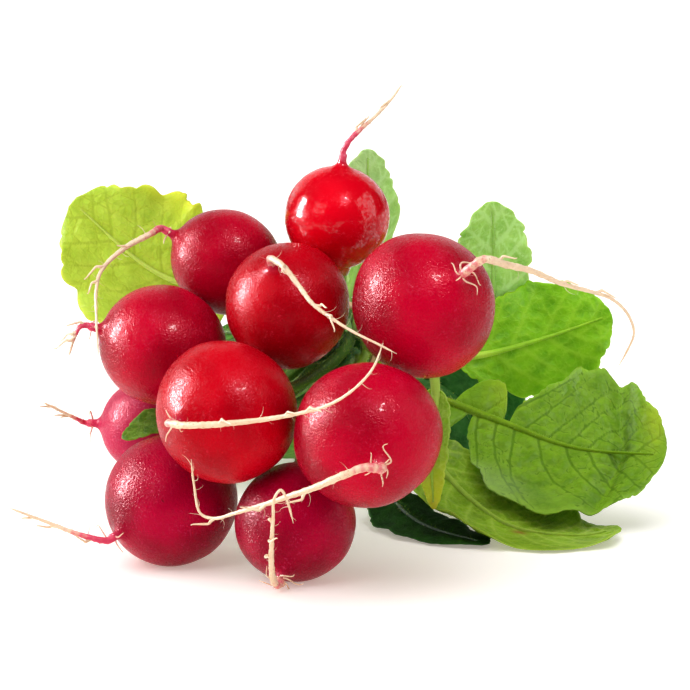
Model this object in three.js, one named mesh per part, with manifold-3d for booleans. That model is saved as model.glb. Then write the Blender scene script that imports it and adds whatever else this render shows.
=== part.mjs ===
// A bunch of ten red radishes, lying on a flat surface: each bulb with its taproot, the leaves that grow from
// its crown, and a rubber band round the leaf stalks. Millimetres, +Z up. +Y runs from the taproots, past the
// band, to the leaf tips, and +X is to the right for someone who faces the taproots. The origin is on the
// resting surface, under the middle of the bunch.

import * as THREE from "three";
import { mergeVertices } from "three/addons/utils/BufferGeometryUtils.js";
import Module from "manifold-3d";

const wasm = await Module();
wasm.setup();

// Driving dimensions ----------------------------------------------------------------------------------------

const GAP = 0.3; // between pieces that touch

const BULB_SIDES = 16;
const BULB_RINGS = 8;
const CROWN_RADIUS = 4.2; // flat top that the stalks grow from
const CROWN_HEIGHT = 1.2;
const NECK_RADIUS = 1.2; // where the bulb narrows into its taproot
const NECK_HEIGHT = 2.4;
const NECK_FOOT = { radius: 0.17, height: 0.24 }; // a place half way: share of the bulb's radius, and height
const ROUND_FROM = 158; // the round of a bulb runs from its crown to its neck: degrees from the taproot
const ROUND_TO = 20;
const SWELLS = [[2, 0.02], [3, 0.012]]; // unevenness round a bulb: how many times round, and share of radius

const TAPROOT_SIDES = 5;
const TAPROOT_STEP = 5.5; // length of one facet along a taproot
const TAPROOT_TIP_RADIUS = 0.3;
const TAPROOT_TAPER = 1.2; // above 1 narrows a taproot early
const ROOTLETS = 3; // side roots on each taproot
const ROOTLET_SPAN = [0.12, 0.75]; // the shares of the taproot's length that they grow between
const ROOTLET_LENGTH = [3.6, 6];
const ROOTLET_RADIUS = [0.33, 0.18]; // at its base and at its tip
const ROOTLET_SLANT = 0.9; // lean towards the taproot's tip over reach away from the bulb

const STALK_RADIUS = [1.65, 1.2]; // a leaf stalk at its crown and where its blade begins
const STALK_CORNERS = { left: [-1, 0.1], right: [1, 0.1], above: [0.5, 0.75], below: [0.55, -0.85] };
const STALK_SPREAD = 2.3; // how far from the crown's middle a stalk grows
const STALK_EASE = 0.15; // share of the way to the band over which a stalk keeps its first direction
const BAND_EASE = 0.35; // share of that way over which it comes straight into the band
const STALK_STEP = 10; // length of one facet along a stalk
const STALK_POINTS = 24; // on the curve from the crown to the band
const BLADE_POINTS = 60; // on the curve from there to the leaf's tip
const BAND_MARGIN = 0.6; // a stalk runs straight for this much beyond each side of the band
const BLADE_THICKNESS = 0.7;
const RIB_DEPTH = 1.3; // how far the midrib stands out of the blade's back where the blade begins
const RIB_WIDTH = 0.55; // half the midrib's width there over the stalk's radius
const RIB_FADE = 0.25; // the rib at the tip over the rib where the blade begins
const BLADE_ROWS = 15; // every second one lies in a notch of the edge
const BLADE_LAST_ROW = 0.6; // how much of a row's spacing lies past the last of them
const TOOTH_DEPTH = 0.08; // share of the half width that a notch cuts in
const SOFT_LANDING = 8; // height above the resting surface from which it has no effect on a blade
const CURL_RADIUS = 22; // a blade with a cup of 1 is bent across to this radius
const EDGE_WAVES = [[15, 1], [17, 1.7]]; // waves of the left and the right edge: radians a lobe, and start
const FULL_WAVE = 8; // half width from which an edge has its full waves
const LOBE_ROUNDNESS = 0.55; // below 1 fills out the ends of the end lobe
const LOBE_TIP = 0.01; // the outline would close this share of the lobe's length past the last row
const LEAFLET_ROUNDNESS = 0.6;
const LEAFLET_ROWS = 4;
const LEAFLET_SHARE = 0.27; // a leaflet's length over its end lobe's
const LEAFLET_WIDTH = 0.24; // a leaflet's half width over its end lobe's width
const LEAFLET_PITCH = 1.1; // from one leaflet pair to the next over their length

const TIE_CENTRE = new THREE.Vector3(-3, 68, 43);
const TIE_RINGS = [
  { radius: 4.3, count: 7, first: 15 }, // inner stalks
  { radius: 8.0, count: 13, first: -10 }, // outer stalks
  { radius: 0, count: 1, first: 0 }, // the middle stalk
];
const BAND_INNER_RADIUS = 10.1;
const BAND_THICKNESS = 1.1;
const BAND_WIDTH = 2.6; // one turn of the band, along the stalks
const BAND_SIDES = 26;
const BAND_GROOVE = 0.4; // depth of the groove between the band's two turns

// The bulbs: where each centre is, its radius, the way its taproot points, and its length over its width.
const BULBS = {
  1: { centre: [-28.5, 42, 67.5], radius: 12.3, root: [-0.9, -0.15, 0.5], stretch: 1.12 },
  2: { centre: [-2, 37, 79], radius: 12.7, root: [0.1, -0.1, 1], stretch: 0.97 },
  3: { centre: [-13.5, 20, 60.5], radius: 14.8, root: [-0.2, -0.68, 0.7], stretch: 0.98 },
  4: { centre: [18, 5, 63], radius: 16.5, root: [0.45, -0.72, 0.5], stretch: 0.98 },
  5: { centre: [-43, 25.5, 50], radius: 14.3, root: [-0.93, -0.25, 0.3], stretch: 1.06 },
  6: { centre: [-27, -2, 39.5], radius: 16.3, root: [-0.62, -0.78, 0.03], stretch: 0.98 },
  7: { centre: [5, -14, 36.7], radius: 16.5, root: [0.15, -0.96, -0.17], stretch: 1 },
  8: { centre: [-40.8, 15.5, 14.9], radius: 15.3, root: [-0.7, -0.6, -0.34], stretch: 1.03 },
  9: { centre: [-11.5, 0, 13.3], radius: 13.8, root: [-0.2, -0.72, -0.66], stretch: 1 },
  10: { centre: [-48, 46, 26.5], radius: 11.6, root: [-0.98, 0, 0.05], stretch: 1 },
};

// The taproots: radius at the neck, and the points that each passes after it.
const TAPROOTS = {
  1: {
    radius: 1,
    path: [
      [-46.3, 33, 75.5], [-52, 30, 72.7], [-56.9, 25, 68.6], [-58, 19, 64.8], [-57.6, 13, 58.3],
      [-57, 10, 50],
    ],
  },
  2: {
    radius: 0.9,
    path: [
      [1, 35, 97.5], [3.5, 36, 100], [7, 37, 103], [10.5, 38, 106.5], [13.5, 39, 110.5],
    ],
  },
  3: {
    radius: 0.95,
    path: [
      [-14, 1.5, 72.5], [-10.5, -1, 68.5], [-7.5, -4, 65], [-3, -7, 62], [2, -11, 59.5], [7, -14, 57.5],
      [11.5, -16, 55.5],
    ],
  },
  4: {
    radius: 1.15,
    path: [
      [31, -11, 76], [36, -9, 74.5], [42, -5, 72.5], [49, -1, 69], [56, 3, 66.5], [61, 5, 64.5],
      [65, 7, 60.5], [66.5, 8, 56], [65, 9, 51.5], [63, 10, 47.5],
    ],
  },
  5: { radius: 0.9, path: [[-62, 20, 55.5], [-63.5, 19, 52.5], [-64.5, 18, 49]] },
  6: {
    radius: 1,
    path: [
      [-36, -20.5, 40.2], [-30.5, -22.5, 40.7], [-24, -23.5, 41.4], [-17, -24.8, 42.5], [-10, -27.5, 44.3],
      [-3.5, -31.5, 47], [2, -34, 51], [6, -34, 55.5], [8.3, -31, 60.5],
    ],
  },
  7: {
    radius: 1.15,
    path: [
      [4.5, -35.5, 33.9], [-1, -36, 32], [-6.3, -34, 29.2], [-12.1, -30, 26.3], [-18.3, -26, 23.3],
      [-24, -21.5, 20.6], [-29.5, -17, 18.2], [-32.5, -15.5, 19], [-33.9, -15, 25.5], [-34.3, -18.5, 32],
    ],
  },
  8: {
    radius: 1,
    path: [
      [-59, 1.5, 9.3], [-64, 1.5, 11], [-68.5, 1, 13], [-73, 0, 15], [-77, -1.5, 17],
    ],
  },
  9: {
    radius: 0.95,
    path: [
      [-16, -14.5, 2.8], [-16.5, -19.5, 8.5], [-16.2, -26.5, 15.4], [-15.7, -33.5, 22.7],
      [-15.4, -35.7, 27], [-14, -36, 29], [-12.6, -34.9, 26.3], [-11.3, -33.5, 21],
    ],
  },
  10: { radius: 0.8, path: [[-65, 44, 28.5], [-69, 42, 31], [-73, 40, 33.5]] },
};

// The leaves. slot is the place that the band holds the stalk in: its ring and its number in that ring. A
// young leaf without a slot grows past the band. path holds the points that the leaf passes after its slot,
// or after its crown, the last being its tip, and facing is the way that the upper side of the blade looks.
// lobe is the length and width of the end lobe, pairs the number of leaflet pairs below it, cup the curl
// across the blade and wave the height of its edge's waves. broad moves the widest place towards the tip,
// skew is how much later the right side of the blade begins than its left, and sweep is how far back the base
// of each side of the end lobe would reach at the lobe's full width.
const LEAVES = [
  // Round the outside of the stalks, from the right, over the top, to the left and underneath.
  {
    plant: 7, slot: [1, 0], path: [[14, 77, 31], [28, 75, 26], [40, 69, 22.5], [57, 60, 18], [79, 51, 18]],
    facing: [0.1, 0.72, -0.69], lobe: [52, 47], broad: 1.15, skew: 9.5, sweep: [10, 18], pairs: 1,
    cup: -0.35, wave: 0.8,
  },
  {
    plant: 4, slot: [1, 1], path: [[18, 80, 38], [33, 84, 37], [50, 86, 41], [68, 83, 48]],
    facing: [0.05, 0.95, -0.1], lobe: [42, 31], broad: 1.15, pairs: 0, cup: 0.4, wave: 1.6,
  },
  {
    plant: 4, slot: [1, 2], path: [[14, 84, 45], [28, 90, 42], [37, 91, 48], [38, 90, 61], [37.5, 87, 76.5]],
    facing: [-0.1, 1, 0], lobe: [36, 21], broad: 1.1, pairs: 0, cup: 0.5, wave: 1.4,
  },
  {
    plant: 2, slot: [1, 3], path: [[2, 82, 57], [5, 87, 70], [5.8, 86, 90]],
    facing: [-0.4, 0.9, 0], lobe: [38, 22], pairs: 0, cup: 0.9, wave: 1.4,
  },
  {
    plant: 2, slot: [1, 4], path: [[-6, 92, 56], [-8, 125, 57], [-8, 155, 43]],
    facing: [0, 0, -1], lobe: [46, 27], pairs: 1, cup: 0.5, wave: 1.2,
  },
  {
    plant: 1, slot: [1, 5], path: [[-14, 80, 52], [-30, 82, 53], [-48, 82, 59], [-69, 82, 77]],
    facing: [0, 1, 0], lobe: [48, 43], pairs: 0, cup: 0.3, wave: 1.6,
  },
  {
    plant: 1, slot: [1, 6], path: [[-18, 90, 50], [-32, 118, 54], [-40, 150, 44]],
    facing: [0, 0, -1], lobe: [48, 27], pairs: 0, cup: 0.5, wave: 1.2,
  },
  {
    plant: 5, slot: [1, 7], path: [[-22, 92, 41], [-44, 120, 36], [-50, 146, 24]],
    facing: [0.5, 0, -0.8], lobe: [44, 26], pairs: 1, cup: 0.4, wave: 1.2,
  },
  {
    plant: 10, slot: [1, 8], path: [[-21, 92, 30], [-38, 118, 18], [-44, 142, 7]],
    facing: [0, 0, 1], lobe: [42, 26], pairs: 0, cup: 0.3, wave: 1.2,
  },
  {
    plant: 10, slot: [1, 9], path: [[-20, 84, 23], [-36, 98, 9], [-50, 118, 1.5]],
    facing: [0, 0, 1], lobe: [38, 26], pairs: 1, cup: 0.2, wave: 0.8,
  },
  {
    plant: 8, slot: [1, 10], path: [[-6, 84, 21], [-8, 100, 8], [-10, 130, 1.2]],
    facing: [0, 0, 1], lobe: [44, 28], pairs: 0, cup: 0.2, wave: 0.8,
  },
  {
    plant: 9, slot: [1, 11], path: [[2, 79, 27], [7, 74, 14], [12, 60, 5], [20, 45, 1], [34, 28.5, 0.5]],
    facing: [0, 0, -1], lobe: [46, 22], pairs: 0, cup: 0.2, wave: 0.8,
  },
  {
    plant: 7, slot: [1, 12],
    path: [[9, 78, 29], [20, 67, 16], [31, 54, 6], [45, 42, -0.3], [58, 38, -0.3], [67, 40, 2.5]],
    facing: [0, 0.1, -1], lobe: [66, 42], broad: 1, pairs: 0, cup: -0.7, wave: 1.4,
  },
  // In the middle of the stalks, in the same order.
  {
    plant: 6, slot: [0, 0], path: [[9, 98, 43], [26, 128, 38], [34, 158, 26]],
    facing: [0, 0, -1], lobe: [46, 26], pairs: 0, cup: 0.5, wave: 1.2,
  },
  {
    plant: 3, slot: [0, 1], path: [[5, 93, 52], [20, 122, 53], [28, 150, 43]],
    facing: [0, 0, -1], lobe: [44, 26], pairs: 0, cup: 0.5, wave: 1.2,
  },
  {
    plant: 3, slot: [0, 2], path: [[-4, 100, 46], [2, 135, 41], [4, 170, 28]],
    facing: [0, 0, -1], lobe: [48, 26], pairs: 1, cup: 0.5, wave: 1.2,
  },
  {
    plant: 5, slot: [0, 3], path: [[-12, 100, 41], [-22, 132, 36], [-28, 162, 24]],
    facing: [0, 0, -1], lobe: [46, 26], pairs: 0, cup: 0.5, wave: 1.2,
  },
  {
    plant: 8, slot: [0, 4], path: [[-9, 98, 34], [-14, 130, 22], [-17, 160, 7]],
    facing: [0, 0, 1], lobe: [46, 27], pairs: 1, cup: 0.4, wave: 1.2,
  },
  {
    plant: 9, slot: [0, 5], path: [[4, 96, 32], [11, 126, 20], [14, 152, 6]],
    facing: [0, 0, 1], lobe: [44, 26], pairs: 0, cup: 0.3, wave: 1.2,
  },
  {
    plant: 6, slot: [0, 6], path: [[15, 92, 30], [27, 98, 25], [35, 100, 14], [39, 100, 3]],
    facing: [0.2, 1, 0], lobe: [34, 32], pairs: 0, cup: 0.3, wave: 1.2,
  },
  // In the middle of the ring, a small leaf that hangs down between the others.
  {
    plant: 3, slot: [2, 0], path: [[-2, 98, 40], [-2, 111, 39], [-3, 118, 34], [-4, 120, 26]],
    facing: [0, -0.3, -1], lobe: [16, 20], pairs: 0, cup: 0.5, wave: 0.6,
  },
  // Past the stalks.
  {
    plant: 7, path: [[14, 16, 44], [20, 32, 45], [22, 42, 35], [21, 39.5, 22], [21.5, 35.5, 8]],
    facing: [0.3, 1, 0], lobe: [30, 9], broad: 0.75, pairs: 0, cup: 1.2, wave: 0.5,
  },
  {
    plant: 8, path: [[-24, 24.5, 27.5], [-30, 28, 31.5], [-42, 30, 32], [-53, 26, 27.5]],
    facing: [0, -0.5, 1], lobe: [20, 10], pairs: 0, cup: 0.6, wave: 0.5,
  },
];

// Colour and roughness of each kind of piece.
const FINISHES = {
  radish_skin: [0xb8001f, 0.35],
  taproot: [0xe8c9a0, 0.6],
  leaf: [0x6fa02c, 0.55],
  rubber_band: [0xc9a877, 0.7],
};

// Shared helpers --------------------------------------------------------------------------------------------

const rad = THREE.MathUtils.degToRad;
const mix = THREE.MathUtils.lerp;
const vec = (a) => new THREE.Vector3(...a);
const throughPoints = (points) => new THREE.CatmullRomCurve3(points, false, "centripetal");
const ALONG = new THREE.Vector3(0, 1, 0); // the way the stalks run

// A repeatable random number from 0 to 1 for a whole number.
function draw(seed) {
  const x = Math.sin(seed * 127.1 + 311.7) * 43758.5453;
  return x - Math.floor(x);
}

// An indexed geometry whose equal vertices are one, without the faces that this collapses.
function welded(geometry) {
  const bare = new THREE.BufferGeometry();
  bare.setAttribute("position", geometry.getAttribute("position"));
  bare.setIndex(geometry.getIndex());
  const merged = mergeVertices(bare, 1e-4);
  const index = [];
  for (let i = 0; i < merged.index.count; i += 3) {
    const [a, b, c] = [0, 1, 2].map((k) => merged.index.getX(i + k));
    if (a !== b && b !== c && c !== a) index.push(a, b, c);
  }
  merged.setIndex(index);
  return merged;
}

function solidOf(geometry) {
  return new wasm.Manifold(
    new wasm.Mesh({
      numProp: 3,
      vertProperties: geometry.getAttribute("position").array,
      triVerts: new Uint32Array(geometry.getIndex().array),
    }),
  );
}

function geometryOf(solid) {
  const mesh = solid.getMesh();
  const geometry = new THREE.BufferGeometry();
  geometry.setAttribute("position", new THREE.BufferAttribute(mesh.vertProperties, 3));
  geometry.setIndex(new THREE.BufferAttribute(mesh.triVerts, 1));
  return geometry;
}

// What reaches below the resting surface is cut flat.
function onFloor(geometry) {
  geometry.computeBoundingBox();
  if (geometry.boundingBox.min.z >= 0) return geometry;
  const slab = new THREE.BoxGeometry(400, 400, 20);
  slab.translate(0, 0, -10);
  return geometryOf(solidOf(geometry).subtract(solidOf(welded(slab))));
}

// A closed geometry through rings of points that all have the same count, with a cap at each end, made of
// strips from the first half of the ring to the second. The second half of each ring can be split into
// triangles as the mirror image of its first half.
function lofted(rings, mirrored = false) {
  const n = rings[0].length;
  const positions = rings.flat().flatMap((p) => [p.x, p.y, p.z]);
  const index = [];
  for (let i = 0; i + 1 < rings.length; i++) {
    for (let j = 0; j < n; j++) {
      const k = (j + 1) % n;
      const [a, b, c, d] = [i * n + j, i * n + k, (i + 1) * n + k, (i + 1) * n + j];
      if (mirrored && j >= n / 2) index.push(a, b, d, b, c, d);
      else index.push(a, b, c, a, c, d);
    }
  }
  const last = (rings.length - 1) * n;
  for (let j = 0; 2 * j + 2 < n; j++) {
    const [a, b, c, d] = [j, j + 1, n - 2 - j, n - 1 - j];
    index.push(a, d, b, b, d, c, last + a, last + b, last + d, last + b, last + c, last + d);
  }
  const geometry = new THREE.BufferGeometry();
  geometry.setAttribute("position", new THREE.Float32BufferAttribute(positions, 3));
  geometry.setIndex(index);
  return welded(geometry);
}

// Positions and directions along a smooth curve, with a normal carried along it without twist from the point
// whose index is anchor, where it is as near to hint as it can be.
function spine(points, anchor, hint) {
  const tangents = points.map((p, i) =>
    points[Math.min(i + 1, points.length - 1)].clone().sub(points[Math.max(i - 1, 0)]).normalize(),
  );
  const normals = [];
  const start = tangents[anchor];
  normals[anchor] = hint.clone().addScaledVector(start, -hint.dot(start)).normalize();
  const turn = new THREE.Quaternion();
  for (let i = anchor + 1; i < points.length; i++) {
    turn.setFromUnitVectors(tangents[i - 1], tangents[i]);
    normals[i] = normals[i - 1].clone().applyQuaternion(turn);
  }
  for (let i = anchor - 1; i >= 0; i--) {
    turn.setFromUnitVectors(tangents[i + 1], tangents[i]);
    normals[i] = normals[i + 1].clone().applyQuaternion(turn);
  }
  const lengths = [0];
  for (let i = 1; i < points.length; i++) lengths[i] = lengths[i - 1] + points[i].distanceTo(points[i - 1]);
  return { points, tangents, normals, lengths, total: lengths.at(-1) };
}

// The spine's place, tangent, normal and side at a length along it.
function frameAt(line, length) {
  const s = THREE.MathUtils.clamp(length, 0, line.total);
  let i = line.lengths.findIndex((l) => l > s) - 1;
  if (i < 0) i = line.points.length - 2;
  const t = (s - line.lengths[i]) / (line.lengths[i + 1] - line.lengths[i]);
  const place = line.points[i].clone().lerp(line.points[i + 1], t);
  const tangent = line.tangents[i].clone().lerp(line.tangents[i + 1], t).normalize();
  const normal = line.normals[i].clone().lerp(line.normals[i + 1], t).normalize();
  return { place, tangent, normal, side: tangent.clone().cross(normal) };
}

// Bulbs -----------------------------------------------------------------------------------------------------

const rootDirection = (number) => vec(BULBS[number].root).normalize();

// The bulb's half outline, from the crown's middle to the neck's middle: [distance from the axis, height].
function bulbProfile({ radius, stretch }) {
  const half = radius * stretch;
  const outline = [[0, -half - CROWN_HEIGHT], [CROWN_RADIUS, -half - CROWN_HEIGHT]];
  for (let i = 0; i <= BULB_RINGS; i++) {
    const angle = rad(mix(ROUND_FROM, ROUND_TO, i / BULB_RINGS));
    outline.push([radius * Math.sin(angle), half * Math.cos(angle)]);
  }
  outline.push([NECK_FOOT.radius * radius, half + NECK_FOOT.height]);
  outline.push([NECK_RADIUS, half + NECK_HEIGHT], [0, half + NECK_HEIGHT]);
  return outline.map(([x, y]) => new THREE.Vector2(x, y));
}

// A turned outline, swollen a little unevenly, as grown bulbs are.
function bulbGeometry(number) {
  const bulb = BULBS[number];
  const geometry = new THREE.LatheGeometry(bulbProfile(bulb), BULB_SIDES);
  const position = geometry.getAttribute("position");
  for (let i = 0; i < position.count; i++) {
    const p = new THREE.Vector3().fromBufferAttribute(position, i);
    const around = Math.atan2(p.z, p.x);
    const body = Math.max(0, 1 - (p.y / (bulb.radius * bulb.stretch)) ** 2);
    const swell = SWELLS.reduce((sum, [times, share]) => sum + share * Math.sin(times * around + number), 0);
    position.setXYZ(i, p.x * (1 + body * swell), p.y, p.z * (1 + body * swell));
  }
  geometry.applyQuaternion(new THREE.Quaternion().setFromUnitVectors(ALONG, rootDirection(number)));
  geometry.translate(...bulb.centre);
  return onFloor(welded(geometry));
}

// Taproots --------------------------------------------------------------------------------------------------

// A tapering tube along a curve, with a ring of sides points at each step.
function taperedTube(curve, steps, sides, radiusAt) {
  const points = curve.getSpacedPoints(4 * steps);
  const line = spine(points, 0, new THREE.Vector3(1, 2, 3));
  const rings = [];
  for (let i = 0; i <= steps; i++) {
    const { place, normal, side } = frameAt(line, (line.total * i) / steps);
    const radius = radiusAt(i / steps);
    rings.push(
      Array.from({ length: sides }, (_, k) => {
        const angle = (2 * Math.PI * k) / sides;
        return place
          .clone()
          .addScaledVector(normal, radius * Math.cos(angle))
          .addScaledVector(side, radius * Math.sin(angle));
      }),
    );
  }
  return lofted(rings);
}

function taprootCurve(number) {
  const bulb = BULBS[number];
  const out = rootDirection(number);
  const neck = bulb.radius * bulb.stretch + NECK_HEIGHT + GAP;
  const start = vec(bulb.centre).addScaledVector(out, neck);
  const straight = start.clone().addScaledVector(out, NECK_RADIUS);
  return throughPoints([start, straight, ...TAPROOTS[number].path.map(vec)]);
}

// A side root that leaves a taproot at a share of its length, away from the bulb.
function rootletGeometry(curve, number, seed, at) {
  const base = curve.getPointAt(at);
  const tangent = curve.getTangentAt(at);
  const out = base.clone().sub(vec(BULBS[number].centre)).normalize().addScaledVector(tangent, ROOTLET_SLANT);
  const sideways = new THREE.Vector3().crossVectors(out, tangent).multiplyScalar(draw(seed + 5) - 0.5);
  const length = mix(...ROOTLET_LENGTH, draw(seed + 7));
  const tip = base.clone().addScaledVector(out.normalize().add(sideways).normalize(), length);
  return taperedTube(new THREE.LineCurve3(base, tip), 1, 3, (t) => mix(...ROOTLET_RADIUS, t));
}

function taprootGeometry(number) {
  const curve = taprootCurve(number);
  const { radius } = TAPROOTS[number];
  const steps = Math.round(curve.getLength() / TAPROOT_STEP) + 2;
  const radiusAt = (t) => mix(TAPROOT_TIP_RADIUS, radius, (1 - t) ** TAPROOT_TAPER);
  let root = solidOf(taperedTube(curve, steps, TAPROOT_SIDES, radiusAt));
  for (let i = 0; i < ROOTLETS; i++) {
    const seed = number * 10 + i;
    const at = mix(...ROOTLET_SPAN, (i + draw(seed)) / ROOTLETS);
    root = root.add(solidOf(rootletGeometry(curve, number, seed, at)));
  }
  return onFloor(geometryOf(root));
}

// Leaves ----------------------------------------------------------------------------------------------------

// Where the band holds a stalk.
function slotPlace([ring, number]) {
  const { radius, count, first } = TIE_RINGS[ring];
  const angle = rad(first + (360 * number) / count);
  return TIE_CENTRE.clone().add(new THREE.Vector3(radius * Math.cos(angle), 0, radius * Math.sin(angle)));
}

// Where each of a plant's stalks starts: evenly round its crown, in the order in which their targets lie.
function stalkBases(plant, targets) {
  const { centre, radius, stretch } = BULBS[plant];
  const out = rootDirection(plant).negate();
  const crown = vec(centre).addScaledVector(out, radius * stretch + CROWN_HEIGHT + 2 * GAP);
  const right = new THREE.Vector3(0, 0, 1).cross(out).normalize();
  const up = out.clone().cross(right);
  const middle = targets.reduce((sum, p) => sum.add(p), new THREE.Vector3()).divideScalar(targets.length);
  const aways = targets.map((p) => p.clone().sub(middle));
  const angles = aways.map((away) => Math.atan2(away.dot(up), away.dot(right)));
  const ranked = [...angles].sort((a, b) => a - b);
  const pitch = (2 * Math.PI) / angles.length;
  const first = ranked.reduce((sum, angle, i) => sum + angle - i * pitch, 0) / angles.length;
  return angles.map((angle) => {
    const around = first + pitch * ranked.indexOf(angle);
    const aside = right.clone().multiplyScalar(Math.cos(around)).addScaledVector(up, Math.sin(around));
    return { out, place: crown.clone().addScaledVector(aside, STALK_SPREAD) };
  });
}

// The line of a leaf from its crown to its tip. A held leaf runs straight through the band.
function leafSpine(leaf, base) {
  const path = leaf.path.map(vec);
  const points = [];
  if (leaf.slot) {
    const slot = slotPlace(leaf.slot);
    const way = base.place.distanceTo(slot);
    const leaving = base.place.clone().addScaledVector(base.out, STALK_EASE * way);
    const arriving = slot.clone().addScaledVector(ALONG, -BAND_EASE * way);
    const stalk = new THREE.CubicBezierCurve3(base.place, leaving, arriving, slot);
    points.push(...stalk.getSpacedPoints(STALK_POINTS).slice(0, -1));
    path.unshift(slot, slot.clone().addScaledVector(ALONG, 2 * BAND_WIDTH));
  } else {
    path.unshift(base.place, base.place.clone().addScaledVector(base.out, 2 * CROWN_HEIGHT));
  }
  points.push(...throughPoints(path).getSpacedPoints(BLADE_POINTS));
  const { lengths, total } = spine(points, 0, vec(leaf.facing));
  const middle = lengths.findIndex((length) => length > total - leaf.lobe[0] / 2);
  return { ...spine(points, middle, vec(leaf.facing)), slotLength: leaf.slot ? lengths[STALK_POINTS] : 0 };
}

// Where the blade of a leaf begins and ends, or that of a side that begins late, and where its leaflets do.
function bladeSpans(leaf, total, late) {
  const [lobeLength] = leaf.lobe;
  const lobeStart = total - lobeLength + late;
  const leafletLength = LEAFLET_SHARE * lobeLength;
  const leaflets = Array.from({ length: leaf.pairs }, (_, i) => {
    const end = lobeStart - i * LEAFLET_PITCH * leafletLength - (LEAFLET_PITCH - 1) * leafletLength;
    return [end - leafletLength, end];
  });
  return { lobe: [lobeStart, total + LOBE_TIP * lobeLength], leaflets };
}

// The half width of one side of a blade at a length along it: 0 on the bare stalk.
function halfWidth(leaf, spans, at, notch) {
  const [, lobeWidth] = leaf.lobe;
  const share = ([from, to]) => (at - from) / (to - from);
  const inside = (span) => share(span) > 0 && share(span) < 1;
  if (inside(spans.lobe)) {
    const outline = Math.sin(Math.PI * share(spans.lobe) ** (leaf.broad ?? 0.9)) ** LOBE_ROUNDNESS;
    return (lobeWidth / 2) * outline * (1 - TOOTH_DEPTH * notch);
  }
  const leaflet = spans.leaflets.find(inside);
  if (!leaflet) return 0;
  return LEAFLET_WIDTH * lobeWidth * Math.sin(Math.PI * share(leaflet)) ** LEAFLET_ROUNDNESS;
}

// Where the rows of a bare stalk are: one at each side of the band, and the rest spread evenly.
function stalkRows(line, bareEnd) {
  const margin = BAND_WIDTH + BAND_MARGIN;
  const held = line.slotLength > 0 ? [line.slotLength - margin, line.slotLength + margin] : [];
  const marks = [0, ...held, bareEnd].filter((mark) => mark <= bareEnd);
  const rows = [0];
  for (let i = 1; i < marks.length; i++) {
    const count = Math.max(1, Math.round((marks[i] - marks[i - 1]) / STALK_STEP));
    for (let k = 1; k <= count; k++) rows.push(mix(marks[i - 1], marks[i], k / count));
  }
  return rows;
}

// The rows of a leaf, from its crown to its tip. half holds the half widths of the blade's left and right
// sides there, and lift the heights of their edges.
function leafRows(leaf, line) {
  const [lobeLength, lobeWidth] = leaf.lobe;
  const { sweep = [0, 0], skew: late = 0 } = leaf;
  const sides = [bladeSpans(leaf, line.total, 0), bladeSpans(leaf, line.total, late)];
  const { lobe, leaflets } = sides[0];
  const bareEnd = leaflets.length > 0 ? leaflets.at(-1)[0] : lobe[0];
  const places = stalkRows(line, bareEnd).map((at) => [at, 0]);
  for (const [from, to] of leaflets.toReversed()) {
    for (let i = 1; i <= LEAFLET_ROWS; i++) places.push([mix(from, to, i / (LEAFLET_ROWS + 1)), 0]);
    places.push([to + 0.4, 0]);
    if (late > 0) places.push([to + late + 0.4, 0]);
  }
  for (let i = 1; i < BLADE_ROWS; i++) {
    const share = (1 - Math.cos((Math.PI * i) / (BLADE_ROWS - 1 + BLADE_LAST_ROW))) / 2;
    places.push([mix(lobe[0], line.total, share), i % 2]);
  }
  places.sort(([a], [b]) => a - b);
  return places.map(([at, notch]) => {
    const along = (at - lobe[0]) / lobeLength;
    const swing = leaf.plant + 2 * lobeWidth;
    return {
      at,
      back: sides.map((spans, i) => (at > spans.lobe[0] ? (sweep[i] * (1 - along)) / lobeWidth : 0)),
      half: sides.map((spans) => halfWidth(leaf, spans, at, notch)),
      lift: EDGE_WAVES.map(([turns, start]) => leaf.wave * Math.sin(turns * along + start * swing)),
      stalk: mix(...STALK_RADIUS, Math.min(1, at / bareEnd)),
      rib: mix(1, RIB_FADE, THREE.MathUtils.clamp(along, 0, 1)),
    };
  });
}

const COLUMNS = [-1, -0.5, 0, 0, 0.5, 1]; // places across the blade; the middle two are the rib's sides

// One row of points across the blade's middle surface, kept off the resting surface.
function bladeRow(row, frame, cup) {
  return COLUMNS.map((v, j) => {
    const side = j < COLUMNS.length / 2 ? 0 : 1;
    const rib = RIB_WIDTH * row.stalk * row.rib;
    const across = (2 * side - 1) * mix(rib, Math.max(rib, row.half[side]), Math.abs(v));
    const curl = cup / CURL_RADIUS;
    const waved = v * v * row.lift[side] * Math.min(1, row.half[side] / FULL_WAVE);
    const rise = (1 - Math.cos(across * curl)) / curl + waved;
    const p = frame.place.clone().addScaledVector(frame.side, Math.sin(across * curl) / curl);
    p.addScaledVector(frame.tangent, -row.back[side] * Math.abs(across));
    return keptOff(p.addScaledVector(frame.normal, rise));
  });
}

// A blade that would sink below the resting surface lies on it instead, and what is just above it bends over.
function keptOff(p) {
  const lowest = BLADE_THICKNESS / 2;
  const above = p.z - lowest;
  const lifted = above > SOFT_LANDING ? above : Math.log1p(Math.exp(above));
  return new THREE.Vector3(p.x, p.y, lowest + lifted);
}

// The ring of points round a bare stalk: as many as round the blade, though the outermost on each side
// are one.
function stalkRing({ place, normal, side }, radius) {
  const offset = ([x, y]) => side.clone().multiplyScalar(x).addScaledVector(normal, y);
  const corner = (at) => place.clone().addScaledVector(offset(at), radius);
  const mirror = ([x, y]) => [-x, y];
  const { above, below } = STALK_CORNERS;
  const [left, right] = [corner(STALK_CORNERS.left), corner(STALK_CORNERS.right)];
  const over = [left, left, corner(mirror(above)), corner(above), right, right];
  return [...over, right, right, corner(below), corner(mirror(below)), left, left];
}

const bare = (row) => !row || Math.max(...row.half) === 0;

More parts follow.
